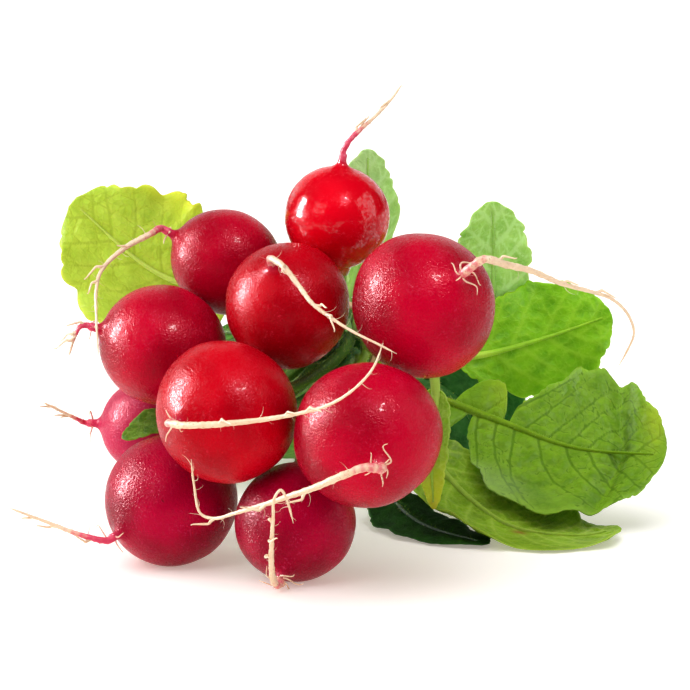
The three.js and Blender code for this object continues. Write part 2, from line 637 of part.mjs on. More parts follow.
// The way that the upper side of a blade looks at each point of a row, from the points round it.
function bladeNormals(middles, i, frame, isBare) {
  const before = isBare[i - 1] ? middles[i] : middles[i - 1];
  const after = isBare[i + 1] ? middles[i] : middles[i + 1];
  return middles[i].map((_, j) => {
    const [left, right] = [Math.max(j - 1, 0), Math.min(j + 1, COLUMNS.length - 1)];
    const across = middles[i][right].clone().sub(middles[i][left]);
    const forward = after[j].clone().sub(before[j]);
    if (across.lengthSq() === 0) across.copy(frame.side);
    if (forward.lengthSq() === 0) forward.copy(frame.tangent);
    return across.cross(forward).normalize();
  });
}

// A leaf in one piece: stalk, leaflets and end lobe, with a rib along its back.
function leafGeometry(leaf, line) {
  const rows = leafRows(leaf, line);
  const frames = rows.map((row) => frameAt(line, row.at));
  const isBare = [...rows, undefined].map(bare);
  const middles = rows.map((row, i) => bladeRow(row, frames[i], leaf.cup));
  const rings = rows.map((row, i) => {
    if (isBare[i]) return stalkRing(frames[i], row.stalk);
    const normals = bladeNormals(middles, i, frames[i], isBare);
    const over = middles[i].map((p, j) => p.clone().addScaledVector(normals[j], BLADE_THICKNESS / 2));
    const under = middles[i].map((p, j) => {
      const ribbed = COLUMNS[j] === 0 ? RIB_DEPTH * row.rib : 0;
      return p.clone().addScaledVector(normals[j], -BLADE_THICKNESS / 2 - ribbed);
    });
    return [...over, ...under.reverse()];
  });
  return onFloor(lofted(rings, true));
}

// Rubber band -----------------------------------------------------------------------------------------------

// Two turns side by side round the stalks, with a groove between them.
function bandGeometry() {
  const [inner, outer] = [BAND_INNER_RADIUS, BAND_INNER_RADIUS + BAND_THICKNESS];
  const turn = [[outer, BAND_GROOVE], [outer, BAND_WIDTH], [inner, BAND_WIDTH]];
  const mirrored = turn.map(([x, y]) => [x, -y]).reverse();
  const profile = [...mirrored, [outer - BAND_GROOVE, 0], ...turn, mirrored[0]];
  const geometry = new THREE.LatheGeometry(profile.map(([x, y]) => new THREE.Vector2(x, y)), BAND_SIDES);
  geometry.translate(...TIE_CENTRE.toArray());
  return welded(geometry);
}

// The bunch -------------------------------------------------------------------------------------------------

const bunch = new THREE.Group();

function piece(name, geometry, finish) {
  const [color, roughness] = FINISHES[finish];
  const mesh = new THREE.Mesh(
    geometry,
    new THREE.MeshStandardMaterial({ name: finish, color, roughness, metalness: 0 }),
  );
  mesh.name = name;
  bunch.add(mesh);
}

for (const number of Object.keys(BULBS).map(Number)) {
  const label = `radish_${String(number).padStart(2, "0")}`;
  piece(`${label}_bulb`, bulbGeometry(number), "radish_skin");
  piece(`${label}_taproot`, taprootGeometry(number), "taproot");
  const leaves = LEAVES.filter((leaf) => leaf.plant === number);
  const targets = leaves.map((leaf) => (leaf.slot ? slotPlace(leaf.slot) : vec(leaf.path[1])));
  const bases = stalkBases(number, targets);
  leaves.forEach((leaf, i) => {
    piece(`${label}_leaf_${i + 1}`, leafGeometry(leaf, leafSpine(leaf, bases[i])), "leaf");
  });
}
piece("rubber_band", bandGeometry(), "rubber_band");

// The origin goes under the middle of the bunch.
const extent = new THREE.Box3().setFromObject(bunch);
bunch.position.set(-(extent.min.x + extent.max.x) / 2, -(extent.min.y + extent.max.y) / 2, 0);

export default bunch;
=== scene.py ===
"""Dresses a bunch of ten red radishes: bulbs, taproots, leaves and the rubber band round the stalks.

Every shape is worked out in millimetres, in the bunch's own frame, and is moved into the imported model's
frame, in metres, when its mesh is made. +Y runs from the taproots to the leaf tips, and +Z is up.
"""

import logging
import math
from collections.abc import Iterator, Sequence
from dataclasses import dataclass, field
from enum import Enum

import bmesh
import bpy
import numpy as np
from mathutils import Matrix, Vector


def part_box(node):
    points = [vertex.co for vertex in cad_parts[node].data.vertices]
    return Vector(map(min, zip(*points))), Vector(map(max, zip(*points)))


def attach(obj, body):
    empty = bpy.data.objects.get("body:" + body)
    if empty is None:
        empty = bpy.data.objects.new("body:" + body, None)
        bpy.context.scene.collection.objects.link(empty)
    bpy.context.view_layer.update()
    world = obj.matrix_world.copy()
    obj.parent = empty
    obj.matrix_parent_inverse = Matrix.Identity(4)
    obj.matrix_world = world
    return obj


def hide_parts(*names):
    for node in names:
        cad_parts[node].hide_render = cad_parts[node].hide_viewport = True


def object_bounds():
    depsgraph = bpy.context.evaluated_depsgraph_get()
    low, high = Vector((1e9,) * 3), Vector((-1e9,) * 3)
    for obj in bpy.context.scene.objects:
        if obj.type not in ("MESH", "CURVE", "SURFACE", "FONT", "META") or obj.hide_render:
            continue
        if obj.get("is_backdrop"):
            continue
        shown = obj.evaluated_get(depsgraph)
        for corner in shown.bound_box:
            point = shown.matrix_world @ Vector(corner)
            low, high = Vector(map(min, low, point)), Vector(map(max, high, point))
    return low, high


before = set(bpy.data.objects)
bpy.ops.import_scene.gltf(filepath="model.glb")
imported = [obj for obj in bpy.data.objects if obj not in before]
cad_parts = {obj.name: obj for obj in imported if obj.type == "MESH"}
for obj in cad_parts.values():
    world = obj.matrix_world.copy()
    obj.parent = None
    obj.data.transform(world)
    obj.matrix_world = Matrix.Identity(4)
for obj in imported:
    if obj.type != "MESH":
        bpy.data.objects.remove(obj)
CAD_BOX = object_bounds()

log = logging.getLogger("radishes")

Point = tuple[float, float, float]
Strand = tuple[np.ndarray, np.ndarray, np.ndarray]  # a root's points, girths and attribute root

MM = 0.001
ALONG = np.array([0.0, 1.0, 0.0])  # the way the stalks run
TIE_CENTRE = np.array([-3.0, 68.0, 43.0])
GAP = 0.3  # between a bulb and its root or its leaves
MERGED = 0.002  # vertices closer than this are one


# Helpers ----------------------------------------------------------------------------------------------------


def frame_shift() -> np.ndarray:
    """Where the bunch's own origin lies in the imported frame, in millimetres."""
    low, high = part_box("rubber_band")
    return np.array((low + high) / 2) / MM - TIE_CENTRE


SHIFT = frame_shift()


def draw(seed: float) -> float:
    """A repeatable random number from 0 to 1 for a number."""
    x = math.sin(seed * 127.1 + 311.7) * 43758.5453
    return x - math.floor(x)


def unit(v: np.ndarray) -> np.ndarray:
    """Vectors of length 1 along the last axis."""
    return v / np.maximum(np.linalg.norm(v, axis=-1, keepdims=True), 1e-9)


def ramp(x: np.ndarray | float, low: float, high: float) -> np.ndarray:
    """A smooth step from 0 at low to 1 at high."""
    t = np.clip((np.asarray(x, float) - low) / (high - low), 0, 1)
    return t * t * (3 - 2 * t)


def srgb(code: str, alpha: float = 1.0) -> tuple[float, float, float, float]:
    """Linear colour of an sRGB hex value.

    Args:
        code: six hex digits.
        alpha: the fourth channel.

    Returns:
        Red, green, blue and alpha, linear.
    """
    parts = [int(code[i : i + 2], 16) / 255 for i in (0, 2, 4)]
    linear = [c / 12.92 if c <= 0.04045 else ((c + 0.055) / 1.055) ** 2.4 for c in parts]
    return (linear[0], linear[1], linear[2], alpha)


def feed(tree: bpy.types.NodeTree, socket: bpy.types.NodeSocket, value: object) -> None:
    """Gives an input a value, or links it to an output socket or to a node's first output."""
    if isinstance(value, bpy.types.Node):
        value = value.outputs[0]
    if isinstance(value, bpy.types.NodeSocket):
        tree.links.new(value, socket)
    else:
        socket.default_value = value


def add_node(tree: bpy.types.NodeTree, kind: str, inputs: dict | tuple = (),
             **settings: object) -> bpy.types.Node:
    """Adds a node with its settings and links.

    Args:
        tree: the tree it joins.
        kind: Blender's name of the node's type.
        inputs: what feeds its inputs, in their order, or for each input's name or number.
        settings: properties of the node itself.

    Returns:
        The new node.
    """
    node = tree.nodes.new(kind)
    for name, value in settings.items():
        setattr(node, name, value)
    for key, value in (inputs if isinstance(inputs, dict) else dict(enumerate(inputs))).items():
        feed(tree, node.inputs[key], value)
    return node


# Curves -----------------------------------------------------------------------------------------------------


def evenly(points: np.ndarray, count: int) -> np.ndarray:
    """Points spread evenly along a polyline.

    Args:
        points: the polyline's own points.
        count: how many steps it is cut into.

    Returns:
        count + 1 points, the polyline's ends among them.
    """
    steps = np.linalg.norm(np.diff(points, axis=0), axis=1)
    lengths = np.concatenate([[0.0], np.cumsum(steps)])
    wanted = np.linspace(0, lengths[-1], count + 1)
    return np.stack([np.interp(wanted, lengths, points[:, k]) for k in range(3)], axis=1)


def through_points(points: Sequence[Sequence[float]], count: int) -> np.ndarray:
    """A smooth curve that passes some points, centripetal, as count even steps.

    Args:
        points: the points in order.
        count: how many steps the curve is cut into.

    Returns:
        count + 1 points.
    """
    p = np.array(points, float)
    p = np.vstack([2 * p[0] - p[1], p, 2 * p[-1] - p[-2]])
    spans = np.sqrt(np.linalg.norm(np.diff(p, axis=0), axis=1))
    t = np.linspace(0, 1, 33)[:-1, None]
    pieces = []
    for i in range(1, len(p) - 2):
        before, here, after = spans[i - 1], spans[i], spans[i + 1]
        a, b, c, d = p[i - 1 : i + 3]
        m = ((b - a) / before - (c - a) / (before + here) + (c - b) / here) * here
        n = ((c - b) / here - (d - b) / (here + after) + (d - c) / after) * here
        pieces.append(b + m * t + (-3 * b + 3 * c - 2 * m - n) * t**2 + (2 * b - 2 * c + m + n) * t**3)
    return evenly(np.vstack([*pieces, p[-2:-1]]), count)


def bezier(a: np.ndarray, b: np.ndarray, c: np.ndarray, d: np.ndarray, steps: int) -> np.ndarray:
    """A cubic curve from a to d with the handles b and c, as points at even steps of its parameter."""
    t = np.linspace(0, 1, steps + 1)[:, None]
    return (1 - t) ** 3 * a + 3 * t * (1 - t) ** 2 * b + 3 * t**2 * (1 - t) * c + t**3 * d


@dataclass
class Spine:
    """A curve with a normal carried along it without twist, from the hint at the point number anchor."""

    points: np.ndarray
    anchor: int
    hint: np.ndarray
    tangents: np.ndarray = field(init=False)
    normals: np.ndarray = field(init=False)
    lengths: np.ndarray = field(init=False)

    def __post_init__(self) -> None:
        """Works out the lengths, tangents and normals."""
        p = self.points
        last = len(p) - 1
        self.tangents = unit(np.array([p[min(i + 1, last)] - p[max(i - 1, 0)] for i in range(last + 1)]))
        self.lengths = np.concatenate([[0.0], np.cumsum(np.linalg.norm(np.diff(p, axis=0), axis=1))])
        self.normals = np.zeros_like(p)
        start = self.tangents[self.anchor]
        self.normals[self.anchor] = unit(self.hint - start * (self.hint @ start))
        for i in range(self.anchor + 1, last + 1):
            self.normals[i] = self._carried(i - 1, i)
        for i in range(self.anchor - 1, -1, -1):
            self.normals[i] = self._carried(i + 1, i)

    def _carried(self, source: int, target: int) -> np.ndarray:
        """The normal at one point, turned as the tangent turns on the way to another."""
        a, b = Vector(self.tangents[source]), Vector(self.tangents[target])
        return np.array(a.rotation_difference(b) @ Vector(self.normals[source]))

    @property
    def total(self) -> float:
        """The curve's whole length."""
        return float(self.lengths[-1])

    def at(self, length: np.ndarray) -> tuple[np.ndarray, np.ndarray, np.ndarray, np.ndarray]:
        """The place, tangent, normal and side at lengths along the curve, of any array shape.

        Args:
            length: lengths from the curve's start.

        Returns:
            Four arrays with one more axis than length has.
        """

        def read(values: np.ndarray) -> np.ndarray:
            """The curve's values between its points."""
            return np.stack([np.interp(length, self.lengths, values[:, k]) for k in range(3)], axis=-1)

        tangent, normal = unit(read(self.tangents)), unit(read(self.normals))
        return read(self.points), tangent, normal, np.cross(tangent, normal)


# Meshes -----------------------------------------------------------------------------------------------------


@dataclass
class Patch:
    """Vertices in the bunch's millimetres, faces, and one or more vector attributes of the vertices."""

    points: np.ndarray
    faces: list[tuple[int, ...]]
    attributes: dict[str, np.ndarray]

    @staticmethod
    def joined(patches: Sequence["Patch"]) -> "Patch":
        """Several patches as one.

        Args:
            patches: the patches, all with the same attributes.

        Returns:
            The whole.
        """
        faces: list[tuple[int, ...]] = []
        start = 0
        for patch in patches:
            faces.extend(tuple(i + start for i in face) for face in patch.faces)
            start += len(patch.points)
        names = patches[0].attributes
        return Patch(
            np.vstack([patch.points for patch in patches]),
            faces,
            {name: np.vstack([patch.attributes[name] for patch in patches]) for name in names},
        )

    def mesh(self, name: str) -> bpy.types.Mesh:
        """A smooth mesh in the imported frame, its doubles merged.

        Args:
            name: the mesh's name.

        Returns:
            The mesh.
        """
        mesh = bpy.data.meshes.new(name)
        mesh.from_pydata(((self.points + SHIFT) * MM).tolist(), [], self.faces)
        for key, values in self.attributes.items():
            layer = mesh.attributes.new(key, "FLOAT_VECTOR", "POINT")
            layer.data.foreach_set("vector", values.astype(np.float32).ravel())
        clean = bmesh.new()
        clean.from_mesh(mesh)
        bmesh.ops.remove_doubles(clean, verts=clean.verts, dist=MERGED * MM)
        clean.to_mesh(mesh)
        clean.free()
        mesh.shade_smooth()
        return mesh


def grid_faces(rows: int, columns: int, around: bool = False, start: int = 0,
               flip: bool = False) -> list[tuple[int, ...]]:
    """Quads of a grid of vertices, row after row.

    Args:
        rows: how many rows of vertices.
        columns: how many vertices in a row.
        around: whether the last column joins the first.
        start: number of the first vertex.
        flip: whether the faces look the other way.

    Returns:
        The faces, each with four vertex numbers.
    """
    faces = []
    for i in range(rows - 1):
        for j in range(columns if around else columns - 1):
            k = (j + 1) % columns
            quad = (i * columns + j, i * columns + k, (i + 1) * columns + k, (i + 1) * columns + j)
            quad = tuple(n + start for n in quad)
            faces.append(quad[::-1] if flip else quad)
    return faces


def show(name: str, mesh: bpy.types.Mesh, material: bpy.types.Material | None, slot: str,
         *nodes: str) -> None:
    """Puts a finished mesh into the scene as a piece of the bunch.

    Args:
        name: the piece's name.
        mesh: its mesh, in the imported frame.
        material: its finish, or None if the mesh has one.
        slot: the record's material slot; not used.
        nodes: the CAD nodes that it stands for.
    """
    if material is not None:
        mesh.materials.clear()
        mesh.materials.append(material)
    piece = bpy.data.objects.new(name, mesh)
    bpy.context.scene.collection.objects.link(piece)
    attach(piece, "root")
    if nodes:
        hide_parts(*nodes)
    log.info("%s: %d faces, stands for %s", name, len(mesh.polygons), ", ".join(nodes) or "nothing")


# Finishes ---------------------------------------------------------------------------------------------------

ATTRIBUTE = "ShaderNodeAttribute"
MATH = "ShaderNodeMath"
MIX = "ShaderNodeMix"
NOISE = "ShaderNodeTexNoise"
RANGE = "ShaderNodeMapRange"
SPLIT = "ShaderNodeSeparateXYZ"
VECTOR_MATH = "ShaderNodeVectorMath"
SMOOTH = {"interpolation_type": "SMOOTHSTEP"}
WATERY_IOR = 1.42  # raw radish flesh and bark


def new_material(name: str) -> tuple[bpy.types.Material, bpy.types.NodeTree]:
    """An empty node material.

    Args:
        name: the material's name.

    Returns:
        The material and its tree.
    """
    material = bpy.data.materials.new(name)
    material.use_nodes = True
    material.node_tree.nodes.clear()
    return material, material.node_tree


def patches(tree: bpy.types.NodeTree, place: object, size: float, detail: float = 2.0, rough: float = 0.5,
            span: tuple[float, float] = (0.3, 0.7), to: tuple[float, float] = (0.0, 1.0)) -> bpy.types.Node:
    """Soft patches, as noise moved smoothly from one range into another.

    Args:
        tree: the material's tree.
        place: where on the piece it is, in millimetres.
        size: about how wide the patches are, in millimetres.
        detail: how many finer layers of noise there are.
        rough: how much the finer layers count.
        span: the range of the noise.
        to: the range that it is moved into.

    Returns:
        The last node.
    """
    cloud = add_node(tree, NOISE, {"Vector": place, "Scale": 1 / size, "Detail": detail, "Roughness": rough})
    return add_node(tree, RANGE, (cloud, *span, *to), **SMOOTH)


def layered(tree: bpy.types.NodeTree, colour: object, layers: Sequence[tuple[object, object, str]]) -> object:
    """Tints laid over a colour one after the other.

    Args:
        tree: the material's tree.
        colour: the ground.
        layers: for each tint, where it shows, how strongly if not fully, and its hex value.

    Returns:
        The colour on top.
    """
    for share, strength, tint in layers:
        if strength is not None:
            share = add_node(tree, MATH, (share, strength), operation="MULTIPLY")
        colour = add_node(tree, MIX, {0: share, 6: colour, 7: srgb(tint)}, data_type="RGBA").outputs[2]
    return colour


def summed(tree: bpy.types.NodeTree, parts: Sequence[tuple[object, object]]) -> object:
    """Values added up.

    Args:
        tree: the tree that they are in.
        parts: each value with its weight, if it has one.

    Returns:
        The sum.
    """
    total = None
    for value, weight in parts:
        if weight is not None:
            value = add_node(tree, MATH, (value, weight), operation="MULTIPLY")
        total = value if total is None else add_node(tree, MATH, (total, value), operation="ADD")
    return total


def surfaced(tree: bpy.types.NodeTree, values: dict[str, object],
             relief: tuple[object, float, float] | None = None) -> None:
    """Ends a material with its surface.

    Args:
        tree: the material's tree.
        values: the inputs of the Principled shader.
        relief: the height of its fine relief, how strongly it shows and how deep it is in metres.
    """
    if relief is not None:
        height, strength, depth = relief
        bump = add_node(tree, "ShaderNodeBump", {"Height": height, "Strength": strength, "Distance": depth})
        values = {**values, "Normal": bump}
    shader = add_node(tree, "ShaderNodeBsdfPrincipled", values)
    add_node(tree, "ShaderNodeOutputMaterial", {"Surface": shader})


@dataclass(frozen=True)
class RadishSkin:
    """Raw radish skin: a thin crimson rind, smooth and waxy when washed. It reads as a soft gloss whose
    highlights break up into specks, because the rind is finely pitted, and light sinks into the flesh.

    red and deep are the rind's own colours. The third colour is that of its pores: pale specks, partly real
    pores and partly painted highlight, the sparkle of light on the pitted rind. coat is how much wax shines
    on it, and pitting how deep its pits are, against the most pitted rind. pore, pit and scar_pitch are
    the widths of a pore and a pit and about how far apart the scars are, in millimetres.
    """

    name: str
    red: str = "B60024"
    deep: str = "920018"
    pore_and_sparkle: str = "CC2E52"
    roughness: float = 0.25
    coat: float = 0.07
    pitting: float = 1.0
    scar: str = "5A0A12"
    crown: str = "7E7434"
    neck: str = "C0304E"
    pore: float = 0.55
    pit: float = 0.45
    scar_pitch: float = 7.0

    def material(self) -> bpy.types.Material:
        """The finish, on a bulb's own millimetres in the attribute skin, with +Y to the taproot. The
        attribute zone holds how near the crown and how near the neck a place is."""
        material, tree = new_material(self.name)
        skin = add_node(tree, ATTRIBUTE, attribute_name="skin").outputs["Vector"]
        zone = add_node(tree, ATTRIBUTE, attribute_name="zone").outputs["Vector"]
        ends = add_node(tree, SPLIT, (zone,))
        # Lenticels: pale pores, more of them in some places than in others. Their pale specks are partly
        # painted highlight, the sparkle of light on the pitted rind.
        crowd = patches(tree, skin, 5.0, 3.0, span=(0.45, 0.7), to=(0.06, 1.0))
        pores = patches(tree, skin, self.pore, 2.0, 0.7, (0.54, 0.66))
        specks = add_node(tree, MATH, (pores, crowd), operation="MULTIPLY")
        scars = self.scars(tree, skin)
        colour = layered(tree, srgb(self.deep), (
            (patches(tree, skin, 14.0, 1.0), None, self.red),
            # Pale pore specks, partly painted highlight sparkle.
            (specks, 0.5, self.pore_and_sparkle),
            (scars, 0.7, self.scar),
            (ends.outputs[0], 0.8, self.crown),
            (ends.outputs[1], 0.8, self.neck),
        ))
        rough = {"Vector": skin, "Detail": 3.0, "Roughness": 0.7}
        pits = add_node(tree, NOISE, {"Vector": skin, "Scale": 1 / self.pit, "Detail": 1.0})
        height = summed(tree, (
            (add_node(tree, NOISE, {"Vector": skin, "Scale": 1 / 2.6}), 1.1),
            (add_node(tree, NOISE, {**rough, "Scale": 1.0}), 0.75),
            (specks, 0.3),
            (pits, 1.3 * self.pitting),
        ))
        height = add_node(tree, MATH, (height, scars), operation="SUBTRACT")
        dull = summed(tree, ((add_node(tree, NOISE, {**rough, "Scale": 1 / 0.8}), None), (crowd, 0.12)))
        gloss = (dull, 0.4, 0.72, self.roughness - 0.06, self.roughness + 0.2)
        surfaced(tree, {
            "Base Color": colour, "IOR": WATERY_IOR, "Roughness": add_node(tree, RANGE, gloss, **SMOOTH),
            "Specular IOR Level": 0.13, "Specular Tint": srgb("FF8496"),
            "Subsurface Weight": 0.08, "Subsurface Radius": (1.0, 0.1, 0.08), "Subsurface Scale": 1.2 * MM,
            "Coat Weight": add_node(tree, RANGE, (dull, 0.42, 0.6, self.coat, 0.0), **SMOOTH),
            "Coat Roughness": 0.1,
        }, (height, 0.08 + 0.42 * self.pitting, 0.25 * MM))
        return material

    def scars(self, tree: bpy.types.NodeTree, skin: bpy.types.NodeSocket) -> bpy.types.Node:
        """Scars of side roots: a few short ticks round the bulb.

        Args:
            tree: the material's tree.
            skin: the bulb's own millimetres.

        Returns:
            The node that says where the scars are.
        """
        turned = add_node(tree, VECTOR_MATH, (skin, (1.0, 2.6, 1.0)), operation="MULTIPLY")
        cells = {"Vector": turned, "Scale": 1 / self.scar_pitch, "Randomness": 1.0}
        cell = add_node(tree, "ShaderNodeTexVoronoi", cells)
        near = add_node(tree, RANGE, (cell.outputs["Distance"], 0.03, 0.08, 1.0, 0.0), **SMOOTH)
        lot = add_node(tree, SPLIT, (cell.outputs["Color"],))
        rare = add_node(tree, RANGE, (lot, 0.8, 0.82), **SMOOTH)
        return add_node(tree, MATH, (near, rare), operation="MULTIPLY")


@dataclass(frozen=True)
class RootSkin:
    """Washed taproot: a matt cream bark over white flesh, with brown ticks where hairs broke off, and red
    where the bulb's rind runs out along it."""

    name: str = "taproot_bark"
    cream: str = "EDD8B8"
    shade: str = "D4AE88"
    red: str = "D02C54"
    tick: str = "9A6A3A"

    def material(self) -> bpy.types.Material:
        """The finish. The attribute root holds the millimetres from the bulb, the red share and the girth."""
        material, tree = new_material(self.name)
        place = add_node(tree, "ShaderNodeTexCoord").outputs["Object"]
        bark = add_node(tree, VECTOR_MATH, {0: place, "Scale": 1 / MM}, operation="SCALE")
        root = add_node(tree, ATTRIBUTE, attribute_name="root").outputs["Vector"]
        parts = add_node(tree, SPLIT, (root,))
        turns = add_node(tree, MATH, (parts.outputs[0], 3.3), operation="MULTIPLY")
        worn = summed(tree, (
            (parts.outputs[1], None),
            (add_node(tree, MATH, (turns,), operation="SINE"), 0.12),
            (patches(tree, bark, 0.8, span=(0.0, 1.0), to=(-0.2, 0.2)), None),
        ))
        near_bulb = add_node(tree, RANGE, (parts.outputs[0], 0.0, 18.0, 0.65, 0.2), **SMOOTH)
        colour = layered(tree, srgb(self.shade), (
            (add_node(tree, NOISE, {"Vector": bark, "Scale": 1 / 2.5, "Detail": 3.0}), None, self.cream),
            (patches(tree, bark, 0.5, 1.0, span=(0.6, 0.7)), near_bulb, self.tick),
            (add_node(tree, RANGE, (worn, 0.15, 0.95), **SMOOTH), None, self.red),
        ))
        grain = add_node(tree, NOISE, {"Vector": bark, "Scale": 1 / 0.6, "Detail": 3.0})
        surfaced(tree, {
            "Base Color": colour, "Roughness": 0.55, "IOR": WATERY_IOR,
            "Subsurface Weight": 0.15, "Subsurface Radius": (1.0, 0.7, 0.4), "Subsurface Scale": 0.8 * MM,
        }, (grain, 0.5, 0.3 * MM))
        return material


@dataclass(frozen=True)
class LeafSkin:
    """Fresh radish leaf: a soft blade with a satin cuticle, lit through by whatever is behind it, with
    forked veins, a net of fine ones between them, and a lighter rim.

    vein_share is how clearly the veins show, and brown how many brown specks there are.
    """

    name: str
    green: str
    deep: str
    vein: str
    rib: str
    rim: str
    vein_share: float
    brown: float = 0.0
    yellow: str = "D9DC2E"
    shade: str = "5A7A2A"
    pale: str = "C6D6AE"
    spot: str = "7A4A1E"
    net_mesh: float = 1.7

    def material(self) -> bpy.types.Material:
        """The finish. The attribute blade holds the millimetres along and across the blade and the way to
        the nearest vein in that vein's half widths. zone holds the edge share, the underside and the stalk
        share, and tint how much shade is painted on the place, how yellow and how brown it is."""
        material, tree = new_material(self.name)
        blade = add_node(tree, ATTRIBUTE, attribute_name="blade").outputs["Vector"]
        zone = add_node(tree, ATTRIBUTE, attribute_name="zone").outputs["Vector"]
        marks = add_node(tree, ATTRIBUTE, attribute_name="tint").outputs["Vector"]
        where, share, tint = (add_node(tree, SPLIT, (source,)) for source in (blade, zone, marks))
        flat = add_node(tree, VECTOR_MATH, (blade, (1.0, 1.0, 0.0)), operation="MULTIPLY")
        lines = self.net(tree, flat)
        veins = add_node(tree, RANGE, (where.outputs[2], 0.4, 1.5, 1.0, 0.0), **SMOOTH)
        colour = layered(tree, srgb(self.deep), (
            (patches(tree, flat, 6.0, 3.0), None, self.green),
            (patches(tree, flat, 0.8), 0.12, self.rim),
            (lines, 0.16, self.vein),
            # Beside each vein the blade is paler for a millimetre.
            (add_node(tree, RANGE, (where.outputs[2], 1.2, 4.5, 0.16, 0.0), **SMOOTH), None, self.rim),
            (add_node(tree, RANGE, (share.outputs[0], 0.86, 1.0), **SMOOTH), 0.5, self.rim),
            (veins, self.vein_share, self.vein),
            # The stalks' colour, darker than the green for some tones: painted shade on stalks between the
            # bulbs.
            (add_node(tree, RANGE, (share.outputs[2], 0.0, 0.6), **SMOOTH), 0.85, self.rib),
            (tint.outputs[1], None, self.yellow),
        ))
        # Painted shade: the colour is multiplied by the shade colour as far as the tint's first channel says.
        shade = {0: 1.0, 6: colour, 7: srgb(self.shade)}
        shaded = add_node(tree, MIX, shade, data_type="RGBA", blend_type="MULTIPLY").outputs[2]
        dark = add_node(tree, RANGE, (tint.outputs[0], 0.0, 1.0), **SMOOTH)
        colour = add_node(tree, MIX, {0: dark, 6: colour, 7: shaded}, data_type="RGBA").outputs[2]
        spots = tint.outputs[2]
        if self.brown > 0:
            specks = patches(tree, flat, 1.6, span=(0.7, 0.78), to=(0.0, self.brown))
            spots = add_node(tree, MATH, (specks, spots), operation="MAXIMUM")
        colour = layered(tree, colour, (
            (add_node(tree, RANGE, (tint.outputs[0], -1.0, 0.0, 0.5, 0.0), **SMOOTH), None, self.pale),
            (spots, None, self.spot),
        ))
        height = summed(tree, (
            (add_node(tree, MATH, (lines, 0.4), operation="MULTIPLY"),
             add_node(tree, RANGE, (share.outputs[1], 0.0, 1.0, -1.0, 1.0), **SMOOTH)),
            (add_node(tree, NOISE, {"Vector": flat, "Scale": 1 / 0.5}), 0.6),
        ))
        surfaced(tree, {
            "Base Color": colour, "Roughness": 0.48, "IOR": 1.4, "Specular IOR Level": 0.07,
            "Subsurface Weight": 0.4, "Subsurface Radius": (0.6, 1.0, 0.2), "Subsurface Scale": MM,
        }, (height, 0.6, 0.2 * MM))
        return material

    def net(self, tree: bpy.types.NodeTree, flat: bpy.types.Node) -> bpy.types.Node:
        """The crooked net of fine lines between the veins, with meshes of 1.2 to 2 mm.

        Args:
            tree: the material's tree.
            flat: millimetres along and across the blade.

        Returns:
            The node that says where the lines are.
        """
        cloud = add_node(tree, NOISE, {"Vector": flat, "Scale": 0.7, "Detail": 2.0}).outputs["Color"]
        bent = add_node(tree, VECTOR_MATH, (flat, cloud), operation="ADD")
        cells = {"Vector": bent, "Scale": 1 / self.net_mesh}
        net = add_node(tree, "ShaderNodeTexVoronoi", cells, feature="DISTANCE_TO_EDGE")
        return add_node(tree, RANGE, (net.outputs["Distance"], 0.02, 0.16, 1.0, 0.0), **SMOOTH)


@dataclass(frozen=True)
class TanRubber:
    """Unpigmented natural rubber, cut from an extruded tube: matt tan, with faint lines along the cut."""

    name: str = "natural_rubber"
    tan: str = "CBA574"
    shade: str = "B48C5C"
    streaks: Point = (120.0, 3500.0, 120.0)  # in a metre: 8 mm long and 0.3 mm wide

    def material(self) -> bpy.types.Material:
        """The finish."""
        material, tree = new_material(self.name)
        place = add_node(tree, "ShaderNodeTexCoord").outputs["Object"]
        lines = add_node(tree, VECTOR_MATH, (place, self.streaks), operation="MULTIPLY")
        grain = add_node(tree, NOISE, {"Vector": lines, "Scale": 1.0, "Detail": 3.0})
        surfaced(tree, {
            "Base Color": layered(tree, srgb(self.shade), ((grain, None, self.tan),)),
            "Roughness": 0.62, "IOR": 1.52,
            "Subsurface Weight": 0.1, "Subsurface Radius": (1.0, 0.7, 0.4), "Subsurface Scale": 0.8 * MM,
        }, (grain, 0.4, 0.1 * MM))
        return material


class Tone(Enum):
    """The greens of the leaves, by which face each leaf turns up and how much painted shade it has."""

    YELLOW = LeafSkin("leaf_yellow_green", "BCD648", "A4C234", "93AC2C", "CCDC78", "D6E04E", 0.5)
    # Its rib colour, which colours the bare stalks, is darker than its green: painted shade on stalks between
    # the bulbs.
    PALE = LeafSkin("leaf_pale_green", "A2D062", "86BC4A", "C2E694", "84AE50", "C4E88A", 0.55)
    VIVID = LeafSkin("leaf_vivid_green", "7EBA18", "5A9A0C", "9CCA34", "B6D648", "94C428", 0.34)
    FRESH = LeafSkin("leaf_fresh_green", "527E0A", "3C6A06", "7EA83A", "9CC25A", "8EB038", 0.5)
    # Its vein colour, which also draws the fine net, is darker than its green: the veins are real, and their
    # darkness is painted shade in the sunken veins.
    UNDER = LeafSkin("leaf_veined", "70981E", "5C8612", "456C06", "7C9418", "8CB038", 0.72)
    LIGHT = LeafSkin("leaf_light_green", "789E18", "648812", "A4BE4C", "B6C85C", "AAC448", 0.38, brown=0.3)
    # The darkest green is painted shade, for leaves that lie in the bunch's shadow.
    DARK = LeafSkin("leaf_painted_shade_green", "1A3E10", "0F2A08", "2A561A", "2C5A1A", "2C5C1C", 0.3)
    YOUNG = LeafSkin("leaf_young", "84AC1E", "6A9416", "B0C85A", "A8C454", "B4CC60", 0.4, brown=0.08)
    # The blue-green is painted shade, for a leaf in shadow behind the front leaves.
    BLUE = LeafSkin("leaf_shaded", "2E6A2A", "1E5020", "4A8040", "4C8040", "4A8040", 0.3)
    # Its rib colour, which colours the bare stalks, is darker than its green: painted shade on stalks between
    # the bulbs.
    PLAIN = LeafSkin("leaf_green", "4F8C2B", "386F20", "86B04E", "54772A", "86B04E", 0.5)


